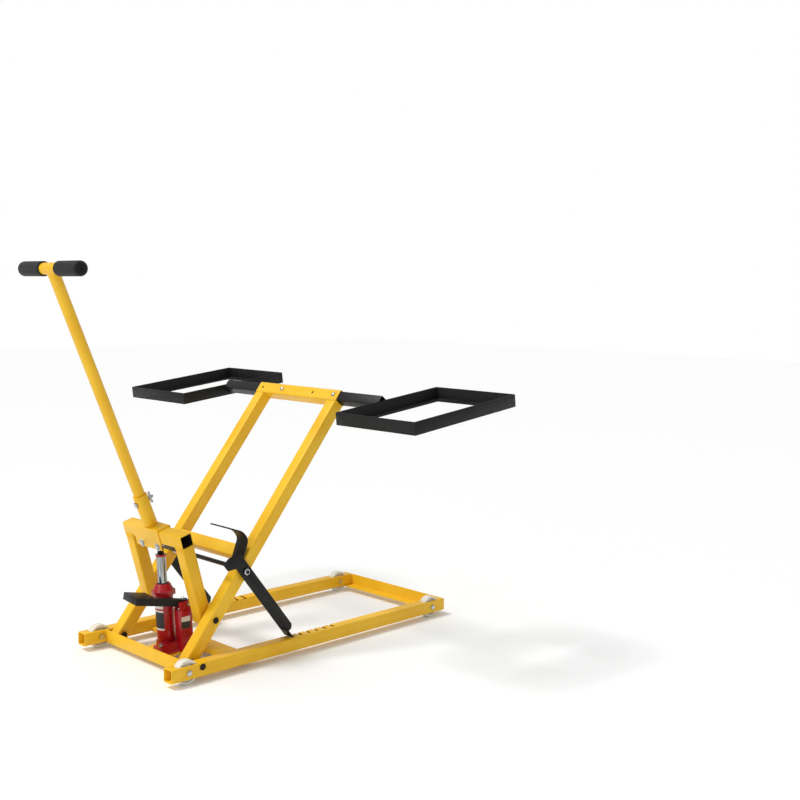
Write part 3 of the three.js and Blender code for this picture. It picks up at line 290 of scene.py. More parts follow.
def painted_red():
    paint = Finish("red_enamel", Specular_IOR_Level=0.4, Coat_Weight=0.2, Coat_Roughness=0.1)
    paint.tones("#a90e1a", "#ba1522", paint.noise(scale=16))
    paint.gloss(low=0.24, high=0.34, field=paint.noise(scale=70))
    paint.bump(depth=0.2 * MM, strength=0.35, field=paint.noise(scale=260))
    return paint.material


FINISHES = {"yellow": painted_yellow(), "black": painted_black(), "red": painted_red()}
print("paints", sorted(FINISHES))

# %% [markdown]
# Bolts and nuts are zinc plated and bright, the pivots of arms and legs and the extension screw are
# blackened, and the ram is hard chromed and polished along its length, so its noise is drawn out along z.
# The inside of an open tube gets painted shade: a near-black brown for the shade in its hollow.

# %% Metals


def zinc_plated():
    metal = Finish("zinc_plated_steel", Metallic=1.0)
    metal.tones("#b9bcc0", "#d3d5d6", metal.noise(scale=90))
    metal.gloss(low=0.18, high=0.32, field=metal.noise(scale=200))
    metal.bump(depth=0.03 * MM, strength=0.5, field=metal.noise(scale=1500, detail=2))
    return metal.material


def hard_chrome():
    metal = Finish("hard_chrome", Metallic=1.0)
    metal.tones("#5d6266", "#c3c7ca", metal.noise(scale=230, detail=2, stretch=(1, 1, 0.02)))
    metal.gloss(low=0.1, high=0.2, field=metal.noise(scale=400, detail=2, stretch=(1, 1, 0.04)))
    scratches = metal.noise(scale=2400, detail=1, stretch=(1, 1, 0.03))
    metal.bump(depth=0.01 * MM, strength=0.4, field=scratches)
    return metal.material


def black_oxide():
    metal = Finish("black_oxide_steel", Metallic=0.75)
    metal.tones("#1f1c1c", "#322d2c", metal.noise(scale=120))
    metal.gloss(low=0.34, high=0.5, field=metal.noise(scale=260))
    metal.bump(depth=0.04 * MM, strength=0.5, field=metal.noise(scale=1300, detail=2))
    return metal.material


# Painted shade: a near-black brown that stands for the shade inside an open tube's hollow.
def painted_shade_inside():
    metal = Finish("painted_shade_tube_inside", Metallic=0.3)
    metal.tones("#1c1712", "#33291c", metal.noise(scale=40))
    metal.gloss(low=0.55, high=0.7, field=metal.noise(scale=90))
    return metal.material


FINISHES["steel"] = zinc_plated()
FINISHES["dark_steel"] = black_oxide()
CHROME = hard_chrome()
# The painted shade for the hollows of open tubes.
PAINTED_SHADE_INSIDE = painted_shade_inside()
print("metals", CHROME.name, PAINTED_SHADE_INSIDE.name)

# %% [markdown]
# The wheels are cast nylon, which lets a little light in under its surface. The grips are foam rubber:
# their skin is a field of fine cells, so the bump comes from a Voronoi texture and not from noise.

# %% Nylon and foam
FOAM_CELLS = 900


def cream_nylon():
    plastic = Finish("cream_nylon", Subsurface_Weight=0.12, Subsurface_Scale=0.004)
    plastic.tones("#e6e2d2", "#f1eee2", plastic.noise(scale=30))
    plastic.gloss(low=0.4, high=0.52, field=plastic.noise(scale=120))
    plastic.bump(depth=0.06 * MM, strength=0.4, field=plastic.noise(scale=500, detail=2))
    return plastic.material


def black_foam():
    foam = Finish("black_foam", Specular_IOR_Level=0.3, Sheen_Weight=0.1)
    foam.tones("#0f0f10", "#19191b", foam.noise(scale=60))
    foam.gloss(low=0.7, high=0.85, field=foam.noise(scale=150))
    cells = foam.tree.nodes.new("ShaderNodeTexVoronoi")
    cells.inputs["Scale"].default_value = FOAM_CELLS
    foam.tree.links.new(foam.place, cells.inputs["Vector"])
    foam.bump(depth=0.25 * MM, strength=0.8, field=cells.outputs["Distance"])
    return foam.material


FINISHES["nylon"] = cream_nylon()
FINISHES["foam"] = black_foam()
print("finishes", sorted(FINISHES))

# %% [markdown]
# Most pieces keep the shape of the frame and only need softer edges. A copy of the frame's mesh has its
# loose triangles welded and its flat faces joined, then a small bevel rounds the sharp edges. The copy
# stands for the frame's node and rides on the same body.

# %% Soft edges
SMOOTH_ANGLE = math.radians(30)
WELD_DISTANCE = 0.01 * MM
FLAT_ANGLE = math.radians(1)
made = set()


def only(piece):
    """Selects one object alone."""
    bpy.ops.object.select_all(action="DESELECT")
    piece.select_set(True)
    bpy.context.view_layer.objects.active = piece


def smoothed(piece, angle=SMOOTH_ANGLE):
    """Shades a piece smooth, apart from its sharp edges."""
    only(piece)
    bpy.ops.object.shade_smooth_by_angle(angle=angle)
    return piece


def rounded(piece, edge, segments=2, sharp=40):
    """Rounds the edges sharper than some degrees with a bevel and smooths the rest."""
    only(piece)
    bevel = piece.modifiers.new("edge", "BEVEL")
    bevel.width = edge
    bevel.segments = segments
    bevel.limit_method = "ANGLE"
    bevel.angle_limit = math.radians(sharp)
    bpy.ops.object.modifier_apply(modifier="edge")
    return smoothed(piece)


def carried(piece, body, slot, material=None):
    """Gives a finished piece its material and the body it rides on."""
    piece.data.materials.clear()
    piece.data.materials.append(material or FINISHES[slot])
    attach(piece, body)


def dressed(piece, node, material=None):
    """Puts a finished piece in place of a node."""
    carried(piece, body_of[node], slot_of[node], material)
    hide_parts(node)
    made.add(node)


def softened(node, edge, segments=2, sharp=40):
    """A merged copy of a node with rounded edges."""
    piece = bpy.data.objects.new(node + "_finish", frame["nodes"][node].data.copy())
    scene.collection.objects.link(piece)
    only(piece)
    bpy.ops.object.mode_set(mode="EDIT")
    bpy.ops.mesh.select_all(action="SELECT")
    bpy.ops.mesh.remove_doubles(threshold=WELD_DISTANCE)
    bpy.ops.mesh.dissolve_limited(angle_limit=FLAT_ANGLE)
    bpy.ops.object.mode_set(mode="OBJECT")
    dressed(rounded(piece, edge, segments, sharp), node)


# %% [markdown]
# Round pieces are turned. A circle is drawn on the axis, then extruded and resized from one ring of the
# profile to the next, as a lathe cuts from step to step. A bored piece starts as an open ring and its last
# ring meets the first.

# %% Turning on a lathe
RING_MERGE = 1e-7


def lathe(name, rings, steps=64, bored=False):
    """Turns a piece about z from (radius, height) rings."""
    bpy.ops.object.select_all(action="DESELECT")
    radius, height = rings[0]
    fill = "NOTHING" if bored else "NGON"
    place = (0, 0, height)
    bpy.ops.mesh.primitive_circle_add(vertices=steps, radius=radius, fill_type=fill, location=place)
    piece = bpy.context.active_object
    piece.name = name
    bpy.ops.object.transform_apply(location=True)
    bpy.ops.object.mode_set(mode="EDIT")
    bpy.ops.mesh.select_all(action="SELECT")
    for next_radius, next_height in rings[1:]:
        lift = (0, 0, next_height - height)
        bpy.ops.mesh.extrude_region_move(TRANSFORM_OT_translate={"value": lift})
        bpy.ops.transform.resize(value=(next_radius / radius, next_radius / radius, 1))
        radius, height = next_radius, next_height
    bpy.ops.mesh.select_all(action="SELECT")
    bpy.ops.mesh.remove_doubles(threshold=RING_MERGE)
    bpy.ops.mesh.normals_make_consistent(inside=False)
    bpy.ops.object.mode_set(mode="OBJECT")
    return piece


def moved(piece, matrix):
    """Moves the mesh of a piece, while its object stays at the origin."""
    piece.data.transform(matrix)
    return piece


# %% [markdown]
# The frame's own axes and sizes place each turned piece. A small matrix stands on the axis, with z along
# it, and the corners of the node are then measured in that matrix.

# %% Measuring the frame
SIDEWAYS = 0.5


def frame_on(origin, along, side=(1, 0, 0)):
    """A matrix with z along an axis and x towards a side."""
    z = Vector(along).normalized()
    y = z.cross(Vector(side)).normalized()
    matrix = Matrix((y.cross(z), y, z)).transposed().to_4x4()
    matrix.translation = origin
    return matrix


def points_of(node, matrix):
    """The corners of a node as a matrix sees them."""
    inverse = matrix.inverted()
    return [inverse @ vertex.co for vertex in frame["nodes"][node].data.vertices]


def extent(node, matrix):
    """The lowest and highest corner of a node in a matrix."""
    points = points_of(node, matrix)
    low = Vector([min(point[i] for point in points) for i in range(3)])
    high = Vector([max(point[i] for point in points) for i in range(3)])
    return low, high


def bore_of(node, matrix):
    """The smallest radius of a node about the z axis of a matrix."""
    return min(point.xy.length for point in points_of(node, matrix))


def middle_of(node):
    """The middle of a node's box."""
    return sum(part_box(node), Vector()) / 2


def broad_side(node):
    """The normal of a node's largest face that doesn't look sideways."""
    faces = [face for face in frame["nodes"][node].data.polygons if abs(face.normal.y) < SIDEWAYS]
    return max(faces, key=lambda face: face.area).normal.copy()


# %% [markdown]
# The wheels are cast nylon rollers. Each is turned with a flat tread and a hub as wide as the rim, and the
# web between them is dished on both sides, as it is cast to save plastic.

# %% Wheels
WHEEL_RIM_SHARE = 0.8
WHEEL_HUB_SHARE = 0.42
WHEEL_DISH_SHARE = 0.4
WHEEL_DRAFT = 1.2 * MM
WHEEL_EDGE = 1.6 * MM


def wheel(node):
    axle = frame_on(joints[node + "_spin"]["pos_m"], (0, 1, 0))
    high = extent(node, axle)[1]
    bore = bore_of(node, axle)
    rim = high.x * WHEEL_RIM_SHARE
    hub = high.x * WHEEL_HUB_SHARE
    web = high.z * (1 - WHEEL_DISH_SHARE)
    half = [(bore, high.z), (hub, high.z), (hub + WHEEL_DRAFT, web), (rim - WHEEL_DRAFT, web)]
    half += [(rim, high.z), (high.x, high.z)]
    rings = [(radius, -height) for radius, height in half] + half[::-1] + [(bore, -high.z)]
    turned = lathe(node + "_finish", rings, steps=96, bored=True)
    dressed(moved(rounded(turned, WHEEL_EDGE, segments=3, sharp=35), axle), node)
    print(node, "radius", round(high.x, 4), "bore", round(bore, 4))


for end in ("front", "rear"):
    for side in ("near", "far"):
        wheel(f"{end}_{side}_wheel")

# %% [markdown]
# The grips are moulded foam pushed over the ends of the cross tube. The outer end is a full round with a
# small vent hole and a groove about it, and the open end has a soft lip round the tube.

# %% Foam grips
GRIP_ROUND = 9 * MM
GRIP_LIP = 1.5 * MM
GRIP_BORE_SHARE = 0.81
GRIP_VENT = 3.2 * MM
GRIP_VENT_DRAFT = 0.9
GRIP_PLUG_SHARE = 0.62
GRIP_GROOVE = 0.7 * MM
GRIP_WALL = 6 * MM
GRIP_VENT_DEPTH = GRIP_WALL * 0.6
GRIP_TURNS = 8


def grip(node, side):
    low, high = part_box(node)
    start = low.y if side > 0 else high.y
    axis = frame_on(((low.x + high.x) / 2, start, (low.z + high.z) / 2), (0, side, 0))
    radius, length = (high.x - low.x) / 2, high.y - low.y
    bore = radius * GRIP_BORE_SHARE
    rings = [(bore, length - GRIP_WALL), (bore, 0), (radius - GRIP_LIP, 0), (radius, GRIP_LIP)]
    for turn in range(GRIP_TURNS + 1):
        angle = math.pi / 2 * turn / GRIP_TURNS
        out, along = math.cos(angle) * GRIP_ROUND, math.sin(angle) * GRIP_ROUND
        rings.append((radius - GRIP_ROUND + out, length - GRIP_ROUND + along))
    plug = (radius - GRIP_ROUND) * GRIP_PLUG_SHARE + GRIP_VENT * (1 - GRIP_PLUG_SHARE)
    rings += [(plug + GRIP_GROOVE, length), (plug, length - GRIP_GROOVE), (plug - GRIP_GROOVE, length)]
    rings += [(GRIP_VENT, length), (GRIP_VENT * GRIP_VENT_DRAFT, length - GRIP_VENT_DEPTH)]
    dressed(moved(smoothed(lathe(node + "_finish", rings, steps=72)), axis), node)
    print(node, "radius", round(radius, 4), "length", round(length, 4))


grip("near_grip", -1)
grip("far_grip", 1)

# %% [markdown]
# The bottle jack leans with the portal. Its ram is hard chromed and has a red collar at the top. The ram's
# end is bored for the extension screw, and the collar is a separate band pushed over it.

# %% Ram and collar
COLLAR_HEIGHT = 6 * MM
COLLAR_WALL = 2 * MM
COLLAR_GAP = 0.05 * MM
COLLAR_EDGE = 0.9 * MM
RAM_CHAMFER = 1 * MM
RAM_LIP = 0.6 * MM
SCREW_GAP = 0.3 * MM


def band(inner, outer, foot, top):
    """The rings of a band with a square section."""
    return [(inner, foot), (outer, foot), (outer, top), (inner, top), (inner, foot)]


jack_up = Vector(joints["ram_extend"]["axis"]).normalized()
jack_side = Vector(joints["pump_stroke"]["axis"]).cross(jack_up) * -1
jack_frame = frame_on(joints["screw_turn"]["pos_m"], jack_up, jack_side)
low, high = extent("jack_ram", jack_frame)
screw_low, screw_high = extent("extension_screw", jack_frame)
ram_radius = high.x - COLLAR_WALL
head_radius = screw_high.x
screw_radius = head_radius - COLLAR_WALL
socket = screw_radius + SCREW_GAP
rings = [(ram_radius - RAM_CHAMFER, low.z), (ram_radius, low.z + RAM_CHAMFER)]
rings += [(ram_radius, high.z - RAM_LIP), (ram_radius - RAM_LIP, high.z)]
rings += [(socket, high.z), (socket, screw_low.z - SCREW_GAP)]
ram = lathe("jack_ram_finish", rings, steps=72)
dressed(moved(smoothed(ram), jack_frame), "jack_ram", CHROME)

rings = band(ram_radius + COLLAR_GAP, high.x, high.z - COLLAR_HEIGHT, high.z)
collar = lathe("ram_collar_finish", rings, steps=72, bored=True)
carried(moved(rounded(collar, COLLAR_EDGE, segments=3, sharp=35), jack_frame), "ram", "red")
print("ram", round(ram_radius, 4), "collar", round(high.x, 4))

# %% [markdown]
# The extension screw stands in the ram, threaded and blackened. At this size a true helix can't be told
# from close grooves, so the thread is turned groove by groove, and a low dome closes the head.

# %% Extension screw
THREAD_PITCH = 2.2 * MM
THREAD_DEPTH = 0.75 * MM
THREAD_START_SHARE = 0.25
THREAD_RISE_SHARE = 0.3
THREAD_CREST_SHARE = 0.5
THREAD_FALL_SHARE = 0.85
HEAD_HEIGHT = 14 * MM
HEAD_CHAMFER = 0.8 * MM
HEAD_DOME = 4 * MM
DOME_SHOULDER_SHARE = 0.8
DOME_RISE_SHARE = 0.6
DOME_TIP_SHARE = 0.4

dome = screw_high.z - HEAD_DOME
neck = dome - HEAD_HEIGHT
root = screw_radius - THREAD_DEPTH
turns = int((neck - screw_low.z) / THREAD_PITCH) - 1
rings = [(root, screw_low.z)]
for turn in range(turns):
    foot = screw_low.z + (turn + THREAD_START_SHARE) * THREAD_PITCH
    rings.append((screw_radius, foot + THREAD_PITCH * THREAD_RISE_SHARE))
    rings.append((screw_radius, foot + THREAD_PITCH * THREAD_CREST_SHARE))
    rings.append((root, foot + THREAD_PITCH * THREAD_FALL_SHARE))
rings += [(root, neck), (head_radius - HEAD_CHAMFER, neck), (head_radius, neck + HEAD_CHAMFER)]
rings += [(head_radius, dome), (head_radius * DOME_SHOULDER_SHARE, dome + HEAD_DOME * DOME_RISE_SHARE)]
rings += [(head_radius * DOME_TIP_SHARE, screw_high.z)]
screw = lathe("extension_screw_finish", rings, steps=48)
dressed(moved(smoothed(screw), jack_frame), "extension_screw")
print("screw", round(screw_radius, 4), "turns", turns)

# %% [markdown]
# Where the ram leaves the cap, a rubber wiper keeps dirt off the seal. It is a low ring whose outside
# slopes in towards the ram.

# %% Wiper ring
WIPER_GAP = 0.2 * MM
WIPER_HEIGHT = 2.4 * MM
WIPER_WALL = 3.4 * MM
WIPER_LIP = 0.8 * MM
WIPER_EDGE = 0.3 * MM

seat = extent("jack_cap", jack_frame)[1].z
inner = ram_radius + WIPER_GAP
rings = [(inner, seat), (ram_radius + WIPER_WALL, seat), (inner + WIPER_LIP, seat + WIPER_HEIGHT)]
rings += [(inner, seat + WIPER_HEIGHT), (inner, seat)]
wiper = rounded(lathe("ram_wiper_finish", rings, steps=64, bored=True), WIPER_EDGE, sharp=35)
carried(moved(wiper, jack_frame), "base", "black", FINISHES["foam"])
print("wiper", round(inner, 4), "seat", round(seat, 4))

# %% [markdown]
# The cylinder carries a paper label and the pump block a smaller one. Both are left bare of words: a pale
# sheet with a dark panel. The panel's edges lie at heights, so a ramp with hard steps draws them.

# %% Label paper
PAPER = "#e9e5dc"
STRIPE_RED = "#b3202a"
CYLINDER_PANEL = ((0.04, "#1b1a1a"), (0.6, PAPER), (0.66, STRIPE_RED), (0.72, PAPER))
BLOCK_PANEL = ((0.03, "#2a2927"), (0.62, PAPER))


def label_paper(name, panel, foot, top):
    """Pale paper whose panel changes colour at shares of its height."""
    paper = Finish(name, Roughness=0.42)
    apart = paper.tree.nodes.new("ShaderNodeSeparateXYZ")
    paper.tree.links.new(paper.place, apart.inputs["Vector"])
    share = paper.tree.nodes.new("ShaderNodeMapRange")
    share.inputs["From Min"].default_value = foot
    share.inputs["From Max"].default_value = top
    paper.tree.links.new(apart.outputs["Z"], share.inputs["Value"])
    ramp = paper.tree.nodes.new("ShaderNodeValToRGB")
    ramp.color_ramp.interpolation = "CONSTANT"
    ramp.color_ramp.elements[0].color = tone(PAPER)
    for position, code in panel:
        ramp.color_ramp.elements.new(position).color = tone(code)
    ramp.color_ramp.elements[-1].color = tone(PAPER)
    ramp.color_ramp.elements[-1].position = 1
    paper.tree.links.new(share.outputs["Result"], ramp.inputs["Fac"])
    paper.tree.links.new(ramp.outputs["Color"], paper.shader.inputs["Base Color"])
    return paper.material


# %% [markdown]
# The label of the cylinder is wrapped round it. It is a thin sleeve, turned like the rest and then cut to
# a wedge by two planes that pass through the jack's axis.

# %% Cylinder label
LABEL_WALL = 0.25 * MM
LABEL_GAP = 0.05 * MM
LABEL_SPREAD = math.radians(38)
LABEL_FACING = math.radians(-162)
LABEL_FOOT_SHARE = 0.26
LABEL_TOP_SHARE = 0.9


def cut(piece, place, normal):
    """Keeps what lies beyond a plane and closes the cut."""
    only(piece)
    bpy.ops.object.mode_set(mode="EDIT")
    bpy.ops.mesh.select_all(action="SELECT")
    bpy.ops.mesh.bisect(plane_co=place, plane_no=normal, use_fill=True, clear_inner=True)
    bpy.ops.object.mode_set(mode="OBJECT")


low, high = extent("jack_cylinder", jack_frame)
foot = low.z + (high.z - low.z) * LABEL_FOOT_SHARE
top = low.z + (high.z - low.z) * LABEL_TOP_SHARE
inner = high.x + LABEL_GAP
rings = band(inner, inner + LABEL_WALL, foot, top)
label = lathe("cylinder_label_finish", rings, steps=96, bored=True)
for side in (-1, 1):
    angle = LABEL_FACING + side * (LABEL_SPREAD - math.pi / 2)
    cut(label, (0, 0, foot), (math.cos(angle), math.sin(angle), 0))
moved(smoothed(label), jack_frame)
heights = [(jack_frame @ Vector((0, 0, height))).z for height in (foot, top)]
carried(label, "base", "black", label_paper("cylinder_label", CYLINDER_PANEL, *heights))
print("label", round(top - foot, 4), "high")

# %% [markdown]
# The jack's body is cast, so its edges are wide and soft: the base has the widest, the turned cylinder the
# smallest. The release valve screws into a round boss of the casting, which is a band about its axis.

# %% Castings and the valve's boss
CYLINDER_EDGE = 0.8 * MM
CAP_EDGE = 1.1 * MM
JACK_BASE_EDGE = 2.2 * MM
PUMP_BLOCK_EDGE = 1.6 * MM
VALVE_GAP = 0.3 * MM
BOSS_WALL = 3.2 * MM
BOSS_LENGTH = 22 * MM
BOSS_SET = 4 * MM
BOSS_EDGE = 1.2 * MM

softened("jack_cylinder", CYLINDER_EDGE)
softened("jack_cap", CAP_EDGE, segments=3, sharp=35)
softened("jack_base", JACK_BASE_EDGE, segments=3)
softened("pump_block", PUMP_BLOCK_EDGE, segments=3)

valve = joints["valve_turn"]
valve_frame = frame_on(valve["pos_m"], valve["axis"], (0, 0, 1))
face = extent("jack_base", valve_frame)[1].z - BOSS_SET
bore = extent("release_valve", valve_frame)[1].x + VALVE_GAP
rings = band(bore, bore + BOSS_WALL, face - BOSS_LENGTH, face)
boss = rounded(lathe("valve_boss_finish", rings, steps=40, bored=True), BOSS_EDGE, segments=3, sharp=35)
carried(moved(boss, valve_frame), "base", "red")
print("boss bore", round(bore, 4))

# %% [markdown]
# The pump block's label is a small flat sheet on its side. Its back lies just inside the block, so that
# no gap shows behind it.

# %% Block label
PLATE_WIDTH = 27 * MM
PLATE_HEIGHT = 34 * MM
PLATE_SHIFT = 3 * MM
PLATE_OUT_SHARE = 0.8

low, high = extent("pump_block", jack_frame)
bpy.ops.mesh.primitive_cube_add(size=1)
plate = bpy.context.active_object
plate.name = "block_label_finish"
plate.scale = (PLATE_WIDTH, LABEL_WALL * 2, PLATE_HEIGHT)
plate_x = (low.x + high.x) / 2 - PLATE_SHIFT
plate.location = (plate_x, low.y - LABEL_WALL * PLATE_OUT_SHARE, (low.z + high.z) / 2)
bpy.ops.object.transform_apply(location=True, rotation=False, scale=True)
# The box's first two corners lie at its foot and its top.
heights = [(jack_frame @ Vector((0, 0, plate.bound_box[i][2]))).z for i in (0, 1)]
moved(plate, jack_frame)
carried(plate, "base", "black", label_paper("block_label", BLOCK_PANEL, *heights))
print("block label", PLATE_WIDTH, PLATE_HEIGHT)

# %% [markdown]
# Hex heads are cold forged with a chamfered crown. The frame's node tells the radius of the shank, and
# where each head sits and how its corners are turned, so the head is turned again with six sides and a
# chamfer. Head and shank stay one piece, as on the real bolt.

# %% Hex bolts and nuts
HEX_SIDES = 6
HEX_CHAMFER_SHARE = 0.24
HEX_CROWN_SHARE = 0.88
HEX_EDGE = 0.25 * MM
HEX_FOOT = HEX_EDGE * 2
SHANK_SHARE = 1.25
SHANK_SET = 0.6 * MM


def joined(pieces, name):
    """One piece from several."""
    bpy.ops.object.select_all(action="DESELECT")
    for piece in pieces:
        piece.select_set(True)
    bpy.context.view_layer.objects.active = pieces[0]
    bpy.ops.object.join()
    pieces[0].name = name
    return pieces[0]


def hex_head(name, corners, sign):
    """A hex whose corners stand where the frame's do."""
    far = max(corners, key=lambda point: point.xy.length)
    inner = min(abs(point.z) for point in corners)
    outer = max(abs(point.z) for point in corners)
    radius = far.xy.length
    crown = radius * HEX_CROWN_SHARE
    rise = outer - (outer - inner) * HEX_CHAMFER_SHARE
    rings = [(crown, inner), (radius, inner + HEX_FOOT), (radius, rise), (crown, outer)]
    head = rounded(lathe(name, rings, steps=HEX_SIDES), HEX_EDGE, sharp=25)
    turned = Matrix.Rotation(math.atan2(far.y, far.x) - math.pi / 2, 4, "Z")
    flip = Matrix.Rotation(0 if sign > 0 else math.pi, 4, Vector((far.x, far.y, 0)))
    return moved(head, flip @ turned)


def hex_bolt(node, along, side):
    """A bolt with a hex at each end that has one in the frame."""
    axis = frame_on(middle_of(node), along, side)
    axis = axis @ Matrix.Translation(sum(extent(node, axis), Vector()) / 2)
    points = points_of(node, axis)
    shank = min(point.xy.length for point in points if point.xy.length > MM)
    foot = min(point.z for point in points) + SHANK_SET
    top = max(point.z for point in points) - SHANK_SET
    pieces = [smoothed(lathe(node + "_shank", [(shank, foot), (shank, top)], steps=32))]
    for sign in (-1, 1):
        wide = [point for point in points if point.xy.length > shank * SHANK_SHARE]
        corners = [point for point in wide if point.z * sign > 0]
        if corners:
            pieces.append(hex_head(node + "_head", corners, sign))
    dressed(moved(joined(pieces, node + "_finish"), axis), node)
    print(node, "shank", round(shank, 4), "hexes", len(pieces) - 1)


portal_side = Vector(joints["wing_nut_turn"]["axis"])
hex_bolt("clamp_bolt", portal_side, (0, 1, 0))
for side, sign in (("near", -1), ("far", 1)):
    hex_bolt(f"{side}_saddle_bolt", broad_side(f"{side}_portal_leg"), (0, 1, 0))
    hex_bolt(f"{side}_latch_pivot", (0, sign, 0), (1, 0, 0))

# %% [markdown]
# The wing nut that clamps the handle is a bored hub with two ears. An ear is a flat block whose outer end
# is pushed up and whose corners are rounded, then its thin edges are softened, as on a pressed nut.

# %% Wing nut
EAR_WALL = 2.6 * MM
EAR_FLARE = 2.5 * MM
EAR_ROUND = 3 * MM
EAR_EDGE = 0.5 * MM
EAR_TIP = 1 * MM
EAR_ROOT_SHARE = 0.6
HUB_CROWN_SHARE = 0.78
HUB_CROWN_DROP = EAR_ROUND * 0.3
HUB_EDGE = 0.6 * MM


def ear(reach, root, foot, top):
    """A flared ear along x."""
    middle = ((root + reach) / 2, 0, (foot + top) / 2)
    bpy.ops.mesh.primitive_cube_add(size=1, location=middle)
    block = bpy.context.active_object
    block.scale = (reach - root, EAR_WALL, top - foot - 2 * EAR_FLARE)
    bpy.ops.object.transform_apply(location=True, rotation=True, scale=True)
    points = block.data.vertices
    for point in points:
        if point.co.x > reach - EAR_TIP:
            point.co.z += EAR_FLARE
    for edge in block.data.edges:
        first, second = [points[i].co for i in edge.vertices]
        across = abs(first.y - second.y) > EAR_WALL / 2
        edge.select = across and first.x > reach - EAR_TIP
    bpy.ops.object.mode_set(mode="EDIT")
    bpy.ops.mesh.select_mode(type="EDGE")
    bpy.ops.mesh.bevel(offset=EAR_ROUND, segments=6)
    bpy.ops.mesh.select_mode(type="VERT")
    bpy.ops.object.mode_set(mode="OBJECT")
    return rounded(block, EAR_EDGE, sharp=50)


nut_frame = frame_on(joints["wing_nut_turn"]["pos_m"], portal_side, portal_side.cross((0, 1, 0)))
low, high = extent("wing_nut", nut_frame)
bore = bore_of("wing_nut", nut_frame)
hub = min(high.x, high.y)
reach = max(high.x, high.y)
quarter = 0 if high.x > high.y else math.pi / 2
crown = high.z - HUB_CROWN_DROP
rings = [(bore, low.z), (hub, low.z), (hub * HUB_CROWN_SHARE, crown), (bore, crown), (bore, low.z)]
turned = lathe("wing_nut_hub", rings, steps=40, bored=True)
pieces = [rounded(turned, HUB_EDGE, segments=3, sharp=30)]
for half_turn in (math.pi, 0):
    block = ear(reach, hub * EAR_ROOT_SHARE, low.z, high.z)
    pieces.append(moved(block, Matrix.Rotation(quarter + half_turn, 4, "Z")))
dressed(moved(joined(pieces, "wing_nut_finish"), nut_frame), "wing_nut")
print("wing nut reach", round(reach, 4), "hub", round(hub, 4), "bore", round(bore, 4))

# %% [markdown]
# Nuts and bolt heads are small but catch the eye. On the pivots of the legs and latches, the end of the
# bolt stands out of its nut, with a small chamfer.

# %% Stud ends
STUD_OUT = 2.2 * MM
STUD_SHARE = 0.58
STUD_RISE_SHARE = 0.7
STUD_TIP_SHARE = 0.8


def stud(node, along):
    """The end of a bolt beyond its nut."""
    axis = frame_on(middle_of(node), along)
    high = extent(node, axis)[1]
    radius = high.x * STUD_SHARE
    rings = [(radius, -STUD_OUT), (radius, STUD_OUT * STUD_RISE_SHARE)]
    rings.append((radius * STUD_TIP_SHARE, STUD_OUT))
    piece = smoothed(lathe(node + "_stud_finish", rings, steps=24))
    carried(moved(piece, axis @ Matrix.Translation((0, 0, high.z))), body_of[node], "dark_steel")
    print(node, "stud", round(radius, 4))


for side, sign in (("near", -1), ("far", 1)):
    stud(f"{side}_latch_pivot", (0, sign, 0))
    stud(f"{side}_leg_pivot", (0, sign, 0))

# %% [markdown]
# The fulcrum pin of the pump is kept by a split pin of bent wire. Its eye is a torus below the pin, and
# its two legs are turned rods that spread above it.

# %% Split pin
PIN_WIRE = 0.9 * MM
PIN_LOOP = 3.2 * MM
PIN_LEG = 15 * MM
PIN_NECK = PIN_WIRE * 3
PIN_TIP = PIN_WIRE * 0.6
PIN_TIP_SHARE = 0.5
PIN_INSET = 2 * MM
PIN_SPREAD = math.radians(17)

low, high = extent("fulcrum_pin", jack_frame)
hole = Vector(((low.x + high.x) / 2, high.y - PIN_INSET, (low.z + high.z) / 2))
pin_frame = jack_frame @ Matrix.Translation(hole)
bpy.ops.mesh.primitive_torus_add(
    major_radius=PIN_LOOP, minor_radius=PIN_WIRE, major_segments=28, minor_segments=10,
    location=(0, 0, -PIN_LOOP - PIN_NECK), rotation=(math.pi / 2, 0, 0),
)
loop = bpy.context.active_object
loop.name = "split_pin_loop_finish"
bpy.ops.object.transform_apply(location=True, rotation=True)
bpy.ops.object.shade_smooth()
carried(moved(loop, pin_frame), "base", "steel")
for name, lean in (("split_pin_first_leg", -PIN_SPREAD), ("split_pin_second_leg", PIN_SPREAD)):
    rings = [(PIN_WIRE, -PIN_NECK), (PIN_WIRE, PIN_LEG), (PIN_WIRE * PIN_TIP_SHARE, PIN_LEG + PIN_TIP)]
    leg = smoothed(lathe(name + "_finish", rings, steps=12))
    carried(moved(leg, pin_frame @ Matrix.Rotation(lean, 4, "Y")), "base", "steel")
print("split pin", [round(v, 3) for v in pin_frame.translation])

# %% [markdown]
# The frame is welded from square tube, and the main seams show a bead: a rippled roll of metal laid along
# the corner, half sunk in both tubes and painted over with them. It is turned like the rest, with rings
# that swell and shrink, and then laid along the seam.

# %% A weld bead
BEAD_RADIUS = 2.3 * MM
BEAD_STEP = 1.4 * MM
BEAD_FEWEST = 4
BEAD_RIPPLE = 0.5 * MM
BEAD_WAVE_SHARE = 0.6
BEAD_WAVE_TURN = 1.7
BEAD_TIP_SHARE = 0.45
SIDELONG = 0.9
beads = []


def bead(name, start, end, body, slot="yellow"):
    """A weld bead from one place to another."""
    run = Vector(end) - Vector(start)
    count = max(BEAD_FEWEST, int(run.length / BEAD_STEP))
    rings = [(BEAD_RADIUS * BEAD_TIP_SHARE, 0)]
    for ring in range(1, count):
        swell = BEAD_RIPPLE * math.cos(ring * math.pi)
        swell += BEAD_RIPPLE * BEAD_WAVE_SHARE * math.sin(ring * BEAD_WAVE_TURN)
        rings.append((BEAD_RADIUS + swell, run.length * ring / count))
    rings.append((BEAD_RADIUS * BEAD_TIP_SHARE, run.length))
    piece = lathe(name + "_finish", rings, steps=10)
    only(piece)
    bpy.ops.object.shade_smooth()
    side = (0, 1, 0) if abs(run.normalized().y) < SIDELONG else (1, 0, 0)
    carried(moved(piece, frame_on(start, run, side)), body, slot)
    beads.append(piece)


